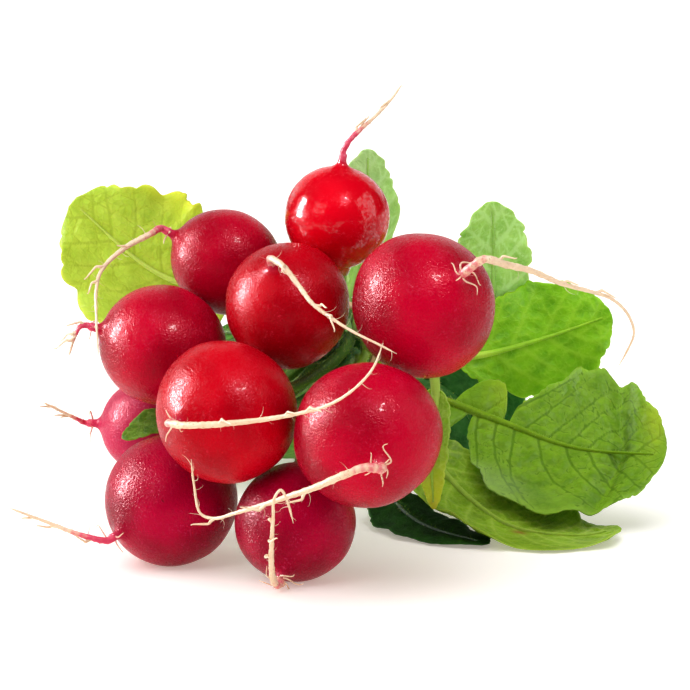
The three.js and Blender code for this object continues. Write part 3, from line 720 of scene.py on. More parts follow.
# Bulbs and taproots -----------------------------------------------------------------------------------------

NECK_HEIGHT = 2.4
NECK_RADIUS = 1.2
NECK_END = 0.8 * NECK_RADIUS  # the radius at which the taproot takes over
CROWN_HEIGHT = 1.2
CROWN_RADIUS = 4.2
BODY_ANGLES = (158, 17)  # where the round body begins and ends, in degrees from the taproot
NECK_STEPS = 11
MAIN_STEPS = 140
SIDE_ROOTS = 3


class Rind(Enum):
    """The reds of the bulbs."""

    CRIMSON = RadishSkin("radish_rind_crimson")
    GLOSSY = RadishSkin("radish_rind_glossy", "DC0018", "BC0012", "EC3C50", 0.13, 0.65, 0.3)
    SCARLET = RadishSkin("radish_rind_scarlet", "BE0014", "9A000E", "D82A40", pitting=0.8)
    MAGENTA = RadishSkin("radish_rind_magenta", "A8002C", "84001E", "C83860", 0.3)
    PINK = RadishSkin("radish_rind_pink", "C82850", "B01E44", "DC6A88", 0.35)


@dataclass
class Bulb:
    """One radish bulb: a swollen round with a crown for its stalks and a neck that runs into the taproot.

    root is the way that the taproot points, and stretch the bulb's length against its width.
    """

    number: int
    centre: Point
    radius: float
    root: Point
    stretch: float
    rind: Rind = Rind.CRIMSON
    sides: int = 112
    rings: int = 60

    @property
    def half(self) -> float:
        """Half the bulb's length."""
        return self.radius * self.stretch

    @property
    def out(self) -> np.ndarray:
        """The way that the taproot points."""
        return unit(np.array(self.root, float))

    def profile(self) -> np.ndarray:
        """The half outline, from the crown's middle to the neck's middle.

        Returns:
            For each point, its distance from the axis and its height.
        """
        crown = -self.half - CROWN_HEIGHT
        rim = np.array([CROWN_RADIUS, crown])
        angle = np.radians(np.linspace(*BODY_ANGLES, self.rings))
        body = np.stack([self.radius * np.sin(angle), self.half * np.cos(angle)], axis=1)
        lip = np.array([[0, crown + 0.5], [1.6, crown + 0.45], [3.2, crown + 0.1], rim])
        shoulder = np.array([body[0] + (rim - body[0]) * t for t in (0.75, 0.5, 0.25)])
        end = np.array([NECK_END, self.half + NECK_HEIGHT])
        onward = 0.21 * self.radius * np.array([-0.94, 0.342])
        neck = bezier(body[-1], body[-1] + onward, end - [0, 1.6], end, NECK_STEPS)[1:]
        return np.vstack([lip, shoulder, body, neck, [[0, self.half + NECK_HEIGHT]]])

    def unevenness(self, around: np.ndarray, height: np.ndarray) -> np.ndarray:
        """How much wider or narrower than round the bulb is.

        Args:
            around: angles round the axis.
            height: heights along it, as a column.

        Returns:
            A factor for each height and angle.
        """
        body = np.clip(1 - (height / self.half) ** 2, 0, None)
        swell = 0.02 * np.sin(2 * around + self.number) + 0.012 * np.sin(3 * around + self.number)
        seed = self.number * 1.7
        dents = 0.006 * np.sin(5 * around + seed + height / 4) * np.sin(height / 3.1 + 2 * seed)
        dents = dents + 0.004 * np.sin(7 * around - seed - height / 2.6)
        return 1 + body * (swell + dents)

    def patch(self) -> Patch:
        """The bulb's surface, with its own millimetres in the attribute skin, and how near the crown and how
        near the neck each place is in zone."""
        outline = self.profile()
        around = np.linspace(0, 2 * np.pi, self.sides, endpoint=False)
        radius, height = outline[:, :1], outline[:, 1:]
        scale = self.unevenness(around, height)
        # Angles run from the local Z axis, as a lathe about +Y turns them.
        x, z = radius * np.sin(around) * scale, radius * np.cos(around) * scale
        y = np.broadcast_to(height, x.shape)
        local = np.stack([x, y, z], axis=-1).reshape(-1, 3)
        turn = Vector(ALONG).rotation_difference(Vector(self.out)).to_matrix()
        points = local @ np.array(turn).T + np.array(self.centre)
        points[:, 2] = np.maximum(points[:, 2], 0)
        crown = 1 - ramp(height, -self.half - CROWN_HEIGHT, -0.84 * self.half)
        neck = ramp(height, 1.0 * self.half, self.half + NECK_HEIGHT)
        zone = np.stack([np.broadcast_to(v, x.shape) for v in (crown, neck, height * 0)], axis=-1)
        own = local + [self.number * 61.0, 0.0, 0.0]
        faces = grid_faces(len(outline), self.sides, around=True)
        return Patch(points, faces, {"skin": own, "zone": zone.reshape(-1, 3)})

    def build(self, finish: bpy.types.Material) -> None:
        """Makes the bulb and stands it in for its node."""
        name = f"bulb_{self.number:02d}"
        show(name, self.patch().mesh(name), finish, "radish_skin", f"radish_{self.number:02d}_bulb")


@dataclass
class Taproot:
    """The root that runs on from a bulb: a tapering, knotty thread with side roots and fine hairs.

    blush is how far the rind's red runs out along it, flush how red it is there, hairs how many fine hairs
    it has, tuft how many curly roots spread from its neck, and tip the radius that it tapers to.
    """

    bulb: Bulb
    radius: float
    path: tuple[Point, ...]
    blush: float = 2.0
    hairs: int = 16
    flush: float = 0.6
    tuft: int = 3
    tip: float = 0.24

    @property
    def number(self) -> int:
        """The number of its plant."""
        return self.bulb.number

    def spine(self) -> Spine:
        """The root's middle line from the bulb's neck to its tip."""
        out = self.bulb.out
        start = np.array(self.bulb.centre) + out * (self.bulb.half + NECK_HEIGHT + GAP)
        line = through_points([start, start + out * NECK_RADIUS, *self.path], MAIN_STEPS)
        return Spine(line, 0, np.array([1.0, 2.0, 3.0]))

    def main_root(self, spine: Spine) -> Strand:
        """The root itself, which starts inside the bulb's neck.

        Args:
            spine: its line from the neck on.

        Returns:
            The root.
        """
        share = spine.lengths / spine.total
        girth = self.tip + (0.9 * self.radius - self.tip) * (1 - share) ** 1.5
        girth = np.maximum(girth, (NECK_END + 0.05) * (1 - ramp(spine.lengths, 0.0, 2.2)))
        knots = 0.05 * np.sin(spine.lengths * 1.9 + self.number) + 0.04 * np.sin(spine.lengths * 4.3)
        girth = girth * (1 + knots * ramp(spine.lengths, 1, 4)) * (1 - 0.75 * ramp(share, 0.93, 1.0))
        buried = spine.points[0] - self.bulb.out * np.array([[1.6], [0.8]])
        girth = np.concatenate([[NECK_END - 0.1, NECK_END], girth])
        from_bulb = np.concatenate([[0.0, 0.0], spine.lengths])
        red = self.flush * (1 - ramp(from_bulb, 0.4 * self.blush, 1.6 * self.blush))
        return np.vstack([buried, spine.points]), girth, np.stack([from_bulb, red, girth], axis=1)

    def side_root(self, spine: Spine, index: int) -> Strand:
        """One thin root that leaves the main one.

        Args:
            spine: the main root's line.
            index: which side root it is, counted from the bulb.

        Returns:
            The side root.
        """
        seed = self.number * 10 + index
        at = 0.12 + (0.75 - 0.12) * (index + draw(seed)) / SIDE_ROOTS
        place, tangent, _, _ = spine.at(np.array(at * spine.total))
        away = unit(place - np.array(self.bulb.centre)) + 0.9 * tangent
        aside = np.cross(away, tangent) * (draw(seed + 5) - 0.5)
        length = 3.6 + 2.4 * draw(seed + 7)
        heading = unit(unit(away) + aside)
        bend = unit(np.cross(heading, tangent)) * length
        steps = np.linspace(0, 1, 13)[:, None]
        curl = 0.16 * np.sin(np.pi * steps * 1.5) * bend
        curl = curl + 0.08 * np.sin(np.pi * steps * 3) * tangent * length
        thin = 0.34 * (1 - steps[:, 0]) ** 0.8 + 0.07
        far = at * spine.total + length * steps[:, 0]
        return place + heading * length * steps + curl, thin, np.stack([far, far * 0, thin], axis=1)

    def tuft_root(self, index: int) -> Strand:
        """One thin curly root that spreads from the neck over the bulb's skin.

        Args:
            index: which root of the tuft it is.

        Returns:
            The root.
        """
        out = self.bulb.out
        right = unit(np.cross(out, [0.3, 0.2, 1.0]))
        up = np.cross(right, out)
        base = np.array(self.bulb.centre) + out * (self.bulb.half + 0.75 * NECK_HEIGHT)
        seed = self.number * 31 + 3 * index
        turn = 2 * math.pi * (index + 0.7 * draw(seed)) / self.tuft
        away = math.cos(turn) * right + math.sin(turn) * up
        length = 2.5 + 4.5 * draw(seed + 1)
        steps = np.linspace(0, 1, 17)[:, None]
        swing = np.sin(np.pi * steps * (1.2 + draw(seed + 2))) * (draw(seed + 4) * 2 - 1)
        curl = 0.28 * length * swing * np.cross(out, away)
        rise = length * (0.42 * steps - 0.34 * steps**2) * out
        line = base + away * length * steps * (1 - 0.35 * steps * draw(seed + 5)) + curl + rise
        thin = 0.17 * (1 - steps[:, 0]) ** 0.7 + 0.06
        red = 0.6 * self.flush * (1 - 0.6 * steps[:, 0])
        return line, thin, np.stack([2 + 0 * thin, red, thin], axis=1)

    def strands(self) -> list[Strand]:
        """The main root first, then its side roots and its tuft."""
        spine = self.spine()
        sides = [self.side_root(spine, i) for i in range(SIDE_ROOTS)]
        return [self.main_root(spine), *sides, *(self.tuft_root(i) for i in range(self.tuft))]

    def build(self, finish: bpy.types.Material, tubes: "RootTubes", hairs: "RootHairs") -> None:
        """Makes the root and its hairs and stands them in for the node.

        Args:
            finish: the bark.
            tubes: the tool that gives the strands their thickness.
            hairs: the tool that sets the hairs.
        """
        strands = self.strands()
        name = f"taproot_{self.number:02d}"
        show(name, tubes.mesh(name, strands, finish), None, "taproot", f"radish_{self.number:02d}_taproot")
        name = f"root_hairs_{self.number:02d}"
        show(name, hairs.mesh(name, strands[:1], finish, self.hairs, self.number), None, "taproot")


# Geometry nodes ---------------------------------------------------------------------------------------------

RANDOM = "FunctionNodeRandomValue"
KNOTS_IN_A_METRE = 900.0
INSIDE = 0.02  # how far, in millimetres, these pieces stay inside the CAD model's box


@dataclass
class NodeTool:
    """A Geometry Nodes tree with named inputs, run on a mesh and baked into a plain one."""

    name: str
    tree: bpy.types.NodeTree = field(init=False)
    start: bpy.types.Node = field(init=False)

    def __post_init__(self) -> None:
        """Makes the tree with its geometry sockets, and lets the subclass fill it."""
        self.tree = bpy.data.node_groups.new(self.name, "GeometryNodeTree")
        self.tree.is_modifier = True
        self.tree.interface.new_socket("Geometry", in_out="INPUT", socket_type="NodeSocketGeometry")
        self.tree.interface.new_socket("Geometry", in_out="OUTPUT", socket_type="NodeSocketGeometry")
        for label, kind in self.inputs().items():
            self.tree.interface.new_socket(label, in_out="INPUT", socket_type=kind)
        self.start = add_node(self.tree, "NodeGroupInput")
        realized = add_node(self.tree, "GeometryNodeRealizeInstances", {"Geometry": self.grow()})
        painted = add_node(self.tree, "GeometryNodeSetMaterial", {
            "Geometry": realized, "Material": self.start.outputs["Material"]})
        add_node(self.tree, "NodeGroupOutput", (painted,))

    def inputs(self) -> dict[str, str]:
        """The tree's named inputs and the kinds of their sockets."""
        return {"Material": "NodeSocketMaterial"}

    def grow(self) -> bpy.types.Node:
        """Fills the tree and returns the node whose geometry it makes."""
        raise NotImplementedError

    def swept(self, curve: bpy.types.Node, radius: bpy.types.Node, sides: object) -> bpy.types.Node:
        """A closed tube along a curve.

        Args:
            curve: the node that makes the curve.
            radius: the node that gives the radius at each of the curve's points.
            sides: how many sides the tube has.

        Returns:
            The node that makes the tube.
        """
        sized = add_node(self.tree, "GeometryNodeSetCurveRadius", {"Curve": curve, "Radius": radius})
        circle = add_node(self.tree, "GeometryNodeCurvePrimitiveCircle", {"Resolution": sides, "Radius": 1.0})
        tube = add_node(self.tree, "GeometryNodeCurveToMesh", {
            "Curve": sized, "Profile Curve": circle, "Fill Caps": True})
        if "Scale" in tube.inputs:
            feed(self.tree, tube.inputs["Scale"], radius)
        return tube

    def planted(self, points: object, shape: bpy.types.Node, heading: bpy.types.Node,
                size: object) -> bpy.types.Node:
        """A copy of a shape on each of some points.

        Args:
            points: what gives the points.
            shape: the node that makes the shape.
            heading: the node that gives the way of each copy's Z axis.
            size: the scale of each copy.

        Returns:
            The node that sets the copies.
        """
        turn = add_node(self.tree, "FunctionNodeAlignEulerToVector", {"Vector": heading}, axis="Z")
        return add_node(self.tree, "GeometryNodeInstanceOnPoints", {
            "Points": points, "Instance": shape, "Rotation": turn, "Scale": size})

    def run(self, name: str, source: bpy.types.Mesh, values: dict[str, object]) -> bpy.types.Mesh:
        """The mesh that the tree makes of a source.

        Args:
            name: the new mesh's name.
            source: what the tree works on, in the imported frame.
            values: a value for each named input.

        Returns:
            A plain mesh.
        """
        holder = bpy.data.objects.new(name + "_source", source)
        bpy.context.scene.collection.objects.link(holder)
        modifier = holder.modifiers.new(self.name, "NODES")
        modifier.node_group = self.tree
        for item in self.tree.interface.items_tree:
            if item.in_out == "INPUT" and item.name in values:
                modifier[item.identifier] = values[item.name]
        graph = bpy.context.evaluated_depsgraph_get()
        mesh = bpy.data.meshes.new_from_object(holder.evaluated_get(graph), depsgraph=graph)
        mesh.name = name
        spots = np.empty(3 * len(mesh.vertices), np.float32)
        mesh.vertices.foreach_get("co", spots)
        low, high = np.array(CAD_BOX[0]) + INSIDE * MM, np.array(CAD_BOX[1]) - INSIDE * MM
        mesh.vertices.foreach_set("co", np.clip(spots.reshape(-1, 3), low, high).ravel())
        holder.modifiers.clear()
        bpy.data.objects.remove(holder)
        mesh.shade_smooth()
        return mesh


def wires(name: str, strands: Sequence[Strand]) -> bpy.types.Mesh:
    """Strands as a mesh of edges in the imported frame.

    Args:
        name: the mesh's name.
        strands: the strands.

    Returns:
        The mesh, with the attributes girth, in metres, and root.
    """
    edges, start = [], 0
    for points, _, _ in strands:
        edges += [(start + i, start + i + 1) for i in range(len(points) - 1)]
        start += len(points)
    mesh = bpy.data.meshes.new(name)
    places = np.vstack([points for points, _, _ in strands])
    mesh.from_pydata(((places + SHIFT) * MM).tolist(), edges, [])
    girth = mesh.attributes.new("girth", "FLOAT", "POINT")
    girth.data.foreach_set("value", (np.concatenate([g for _, g, _ in strands]) * MM).astype(np.float32))
    root = mesh.attributes.new("root", "FLOAT_VECTOR", "POINT")
    root.data.foreach_set("vector", np.vstack([r for _, _, r in strands]).astype(np.float32).ravel())
    return mesh


@dataclass
class RootTubes(NodeTool):
    """Sweeps a round along each strand, as thick as the strand's girth, and makes it knotty."""

    name: str = "root_tubes"

    def inputs(self) -> dict[str, str]:
        """Adds the tube's sides and the height of its knots."""
        return {"Sides": "NodeSocketInt", "Knots": "NodeSocketFloat", **super().inputs()}

    def grow(self) -> bpy.types.Node:
        """Curve to Mesh, then a push along the normal by noise."""
        tree, start = self.tree, self.start
        curve = add_node(tree, "GeometryNodeMeshToCurve", (start.outputs["Geometry"],))
        girth = add_node(tree, "GeometryNodeInputNamedAttribute", {"Name": "girth"}, data_type="FLOAT")
        tube = self.swept(curve, girth, start.outputs["Sides"])
        cloud = add_node(tree, NOISE, {"Scale": KNOTS_IN_A_METRE, "Detail": 2.0})
        lift = add_node(tree, MATH, (cloud, 0.5), operation="SUBTRACT")
        for share in (start.outputs["Knots"], girth):
            lift = add_node(tree, MATH, (lift, share), operation="MULTIPLY")
        normal = add_node(tree, "GeometryNodeInputNormal")
        offset = add_node(tree, VECTOR_MATH, {0: normal, "Scale": lift}, operation="SCALE")
        return add_node(tree, "GeometryNodeSetPosition", {"Geometry": tube, "Offset": offset})

    def mesh(self, name: str, strands: list[Strand], finish: bpy.types.Material) -> bpy.types.Mesh:
        """The tubes of some strands as one mesh."""
        return self.run(name, wires(name, strands), {"Sides": 12, "Knots": 0.5, "Material": finish})


@dataclass
class RootHairs(NodeTool):
    """Sets thin curling hairs along a strand, pointing away from it and on towards its tip."""

    name: str = "root_hairs"

    def inputs(self) -> dict[str, str]:
        """Adds how many hairs there are, their length and thickness, and the seed."""
        return {
            "Count": "NodeSocketInt", "Length": "NodeSocketFloat", "Thickness": "NodeSocketFloat",
            "Seed": "NodeSocketInt", **super().inputs(),
        }

    def grow(self) -> bpy.types.Node:
        """Instances of a bent, tapering hair on the points of the strand."""
        tree, start = self.tree, self.start
        curve = add_node(tree, "GeometryNodeMeshToCurve", (start.outputs["Geometry"],))
        trimmed = add_node(tree, "GeometryNodeTrimCurve", {"Curve": curve, 2: 0.03, 3: 0.97}, mode="FACTOR")
        spots = {"Curve": trimmed, "Count": start.outputs["Count"]}
        size = {"Seed": start.outputs["Seed"], 2: 0.35, 3: 1.0}
        spread = add_node(tree, RANDOM, size, data_type="FLOAT").outputs[1]
        return self.planted(
            add_node(tree, "GeometryNodeResampleCurve", spots), self.hair(), self.heading(),
            add_node(tree, MATH, (spread, start.outputs["Length"]), operation="MULTIPLY"),
        )

    def heading(self) -> bpy.types.Node:
        """Away from the strand at random, and on towards its tip."""
        tree = self.tree
        tangent = add_node(tree, "GeometryNodeInputTangent")
        chances = {"Seed": self.start.outputs["Seed"], 0: (-1.0, -1.0, -1.0), 1: (1.0, 1.0, 1.0)}
        chance = add_node(tree, RANDOM, chances, data_type="FLOAT_VECTOR")
        away = add_node(tree, VECTOR_MATH, (chance, tangent), operation="CROSS_PRODUCT")
        away = add_node(tree, VECTOR_MATH, (away,), operation="NORMALIZE")
        ahead = add_node(tree, VECTOR_MATH, {0: tangent, "Scale": 0.55}, operation="SCALE")
        return add_node(tree, VECTOR_MATH, (away, ahead), operation="ADD")

    def hair(self) -> bpy.types.Node:
        """One bent hair, 1 long, that tapers to a quarter of its thickness."""
        tree, start = self.tree, self.start
        bent = add_node(tree, "GeometryNodeCurveQuadraticBezier", {
            "Resolution": 7, "Start": (0, 0, 0), "Middle": (0.45, 0.0, 0.6), "End": (0.25, 0.5, 1.0)})
        factor = add_node(tree, "GeometryNodeSplineParameter").outputs["Factor"]
        taper = add_node(tree, RANGE, (factor, 0.0, 1.0, 1.0, 0.25), **SMOOTH)
        slender = (start.outputs["Thickness"], start.outputs["Length"])
        thick = add_node(tree, MATH, slender, operation="DIVIDE")
        return self.swept(bent, add_node(tree, MATH, (taper, thick), operation="MULTIPLY"), 4)

    def mesh(self, name: str, strands: list[Strand], finish: bpy.types.Material, count: int,
             seed: int) -> bpy.types.Mesh:
        """The hairs of some strands as one mesh."""
        sizes = {"Count": count, "Length": 3.2 * MM, "Thickness": 0.09 * MM, "Seed": seed}
        return self.run(name, wires(name, strands), {**sizes, "Material": finish})


@dataclass
class Bristles(NodeTool):
    """Scatters short stiff bristles over a surface, leaning at random."""

    name: str = "bristles"

    def inputs(self) -> dict[str, str]:
        """Adds how dense, long and thick the bristles are, and the seed."""
        return {
            "Density": "NodeSocketFloat", "Length": "NodeSocketFloat", "Thickness": "NodeSocketFloat",
            "Seed": "NodeSocketInt", **super().inputs(),
        }

    def grow(self) -> bpy.types.Node:
        """Instances of a three-sided cone on scattered points."""
        tree, start = self.tree, self.start
        seed = start.outputs["Seed"]
        spots = add_node(tree, "GeometryNodeDistributePointsOnFaces", {
            "Mesh": start.outputs["Geometry"], "Density": start.outputs["Density"], "Seed": seed})
        chances = {"Seed": seed, 0: (-0.6, -0.6, -0.6), 1: (0.6, 0.6, 0.6)}
        chance = add_node(tree, RANDOM, chances, data_type="FLOAT_VECTOR")
        lean = add_node(tree, VECTOR_MATH, (spots.outputs["Normal"], chance), operation="ADD")
        cone = add_node(tree, "GeometryNodeMeshCone", {
            "Vertices": 3, "Radius Top": 0.0, "Radius Bottom": start.outputs["Thickness"],
            "Depth": start.outputs["Length"]}, fill_type="NONE")
        spread = add_node(tree, RANDOM, {"Seed": seed, 2: 0.4, 3: 1.0}, data_type="FLOAT").outputs[1]
        return self.planted(spots, cone, lean, spread)

    def mesh(self, name: str, surface: bpy.types.Mesh, finish: bpy.types.Material) -> bpy.types.Mesh:
        """The bristles of a surface as one mesh."""
        sizes = {"Density": 9e5, "Length": 0.9 * MM, "Thickness": 0.07 * MM, "Seed": 7}
        return self.run(name, surface, {**sizes, "Material": finish})


# Leaves -----------------------------------------------------------------------------------------------------

# The radius, the count of stalks and the first angle of each ring in the band.
SLOT_RINGS = ((4.3, 7, 15.0), (8.0, 13, -10.0), (0.0, 1, 0.0))
STALK_RADIUS = (1.65, 1.2)
STALK_SIDES = 14
STALK_ROW = 1.6  # between two rings of a bare stalk
RIB_ROW = 1.1  # between two rings of a rib
RIB_GIRTH = 0.25  # of a rib's tip, as a share of that of its start
STRAIGHT_RUN = 5.2  # how far a stalk goes straight on from the band's middle
CURVE_STEPS = 200
HEAD_STEPS = 48
LEAF_STEPS = 240
CROWN_SPREAD = 2.3  # from the crown's middle to the stalks
LEAFLET_LENGTH = 0.27  # as a share of the end lobe's length
LEAFLET_HALF = 0.24  # as a share of the end lobe's width
BLADE_THICKNESS = 0.5
CURL_RADIUS = 22.0  # of a blade whose cup is 1
BLADE_ROWS = 15  # of the CAD model's end lobe, every second one in a notch of its edge
NOTCH_DEPTH = 0.08
BLADE_LAST_ROW = 0.6  # the way from its last row to its tip, in rows
WAVES = ((15, 1.0), (17, 1.7))  # how fast each side's edge waves, and where its first wave starts
PLAIN_BLADE = 60.0  # more half widths of a vein than its colour reaches
CLEAR = 30.0  # more millimetres from a vein than its dent reaches
VEIN_STEP = 0.9


class Mark(Enum):
    """What a coloured patch or painted shade does to a blade's colour. SHADE is painted shade, YELLOW and
    BROWN are the blade's own marks, and PALE makes the blade paler. The value is its place in the attribute
    tint, and PALE is taken off SHADE's place."""

    SHADE = 0
    YELLOW = 1
    BROWN = 2
    PALE = 3


@dataclass(frozen=True)
class StainOrShade:
    """A soft patch of another colour on an end lobe: painted shade with the mark SHADE, and the blade's own
    colour with YELLOW and BROWN.

    place is the share of the lobe's length and that of its half width, size is in millimetres.
    """

    mark: Mark
    place: tuple[float, float]
    size: tuple[float, float]
    depth: float


@dataclass(frozen=True)
class Crease:
    """A dent right across an end lobe: how far along it is, how wide and how deep, in millimetres."""

    along: float
    width: float
    depth: float


@dataclass(frozen=True)
class Veins:
    """The side veins of an end lobe, each one forked, in millimetres along and across the lobe.

    pitch is how far apart they leave the rib, girth half the width of one at its base, and forks how many
    branches leave it on each side.
    """

    pitch: float = 6.5
    girth: float = 0.4
    forks: int = 4

    def grown(self, start: Sequence[float], heading: float, reach: float, bend: float,
              seed: float) -> np.ndarray:
        """One vein as a crooked line.

        Args:
            start: where it begins.
            heading: its angle to the rib, in radians.
            reach: its length.
            bend: how much it turns towards the tip for each millimetre.
            seed: number that its crooks are drawn from.

        Returns:
            Points along and across.
        """
        steps = max(3, int(reach / VEIN_STEP))
        crooks = np.array([0.34 * (draw(seed + 0.37 * i) - 0.5) for i in range(steps)])
        turns = bend * np.arange(steps) * VEIN_STEP
        angles = heading - turns + crooks - 0.5 * np.cumsum(crooks) * 0.3
        way = np.stack([np.cos(angles), np.sin(angles)], axis=1) * reach / steps
        return np.vstack([[start], np.array(start) + np.cumsum(way, axis=0)])

    def forked(self, line: np.ndarray, heading: float, index: int,
               own: float) -> Iterator[tuple[np.ndarray, float, float]]:
        """One branch of a side vein, with a twig of its own.

        Args:
            line: the side vein.
            heading: its angle to the rib.
            index: which branch it is, counted from the rib.
            own: number that the side vein is drawn from.

        Yields:
            A line, and how thick it is at both its ends.
        """
        sign = 1 if index % 2 else -1
        spread = (index + 0.5 + 0.6 * (draw(own + 5 + index) - 0.5)) / (2 * self.forks)
        spot = (0.12 + 0.8 * spread) * (len(line) - 1)
        turn = math.radians(48 + 26 * draw(own + 20 + index)) * sign
        long = self.pitch * (0.55 + 0.35 * draw(own + 30 + index)) * (1 - 0.3 * spot / len(line))
        branch = self.grown(line[int(spot)], heading + turn, long, -0.05 * sign, own + 40 + index)
        yield branch, 0.5 * self.girth, 0.22 * self.girth
        twist = heading + turn + math.radians(55) * (1 if draw(own + 60 + index) > 0.5 else -1)
        twig = self.grown(branch[len(branch) // 2], twist, 0.5 * long, 0.0, own + 50 + index)
        yield twig, 0.32 * self.girth, 0.15 * self.girth

    def lines(self, length: float, half: float, seed: float) -> Iterator[tuple[np.ndarray, float, float]]:
        """All the veins of one side.

        Args:
            length: the lobe's length.
            half: its half width.
            seed: number that the side's veins are drawn from.

        Yields:
            A line, and how thick it is at both its ends.
        """
        at = self.pitch * (0.1 + 0.5 * draw(seed))
        index = 0
        while at < length - 2:
            own = seed + 3.1 * index
            heading = math.radians(64 - 22 * at / length + 8 * (draw(own) - 0.5))
            reach = min(1.25 * half, 1.4 * (length - at) + 3) * (0.9 + 0.2 * draw(own + 1))
            line = self.grown((at, 0.0), heading, reach, 0.014, own + 2)
            yield line, self.girth, 0.4 * self.girth
            for k in range(2 * self.forks):
                yield from self.forked(line, heading, k, own)
            at += self.pitch * (0.8 + 0.4 * draw(own + 3))
            index += 1

    def measured(self, along: np.ndarray, across: np.ndarray, lobe: tuple[float, float],
                 seed: float) -> tuple[np.ndarray, np.ndarray]:
        """How far each place on the blade is from the nearest vein.

        Args:
            along: millimetres along the lobe.
            across: millimetres across it.
            lobe: the lobe's length and width.
            seed: number that the veins are drawn from.

        Returns:
            The way in millimetres, and that in half widths of the vein.
        """
        far, relative = np.full(along.shape, CLEAR), np.full(along.shape, PLAIN_BLADE)
        for sign in (-1, 1):
            pick = across * sign >= 0
            spots = np.stack([along[pick], np.abs(across[pick])], axis=1)
            near, share = np.full(len(spots), CLEAR), np.full(len(spots), PLAIN_BLADE)
            for line, thick, thin in self.lines(lobe[0], lobe[1] / 2, seed + 7.7 * sign):
                girths = np.linspace(thick, thin, len(line))
                for a, b, wide, narrow in zip(line, line[1:], girths, girths[1:]):
                    way = b - a
                    t = np.clip((spots - a) @ way / (way @ way), 0, 1)
                    gap = np.hypot(*(spots - a - t[:, None] * way).T)
                    near = np.minimum(near, gap)
                    share = np.minimum(share, gap / (wide + (narrow - wide) * t))
            far[pick], relative[pick] = near, share
        return far, relative


def slot_place(slot: tuple[int, int]) -> np.ndarray:
    """Where the band holds a stalk.

    Args:
        slot: the stalk's ring and its place in that ring.

    Returns:
        The stalk's middle.
    """
    radius, count, first = SLOT_RINGS[slot[0]]
    angle = math.radians(first + 360 * slot[1] / count)
    return TIE_CENTRE + radius * np.array([math.cos(angle), 0, math.sin(angle)])


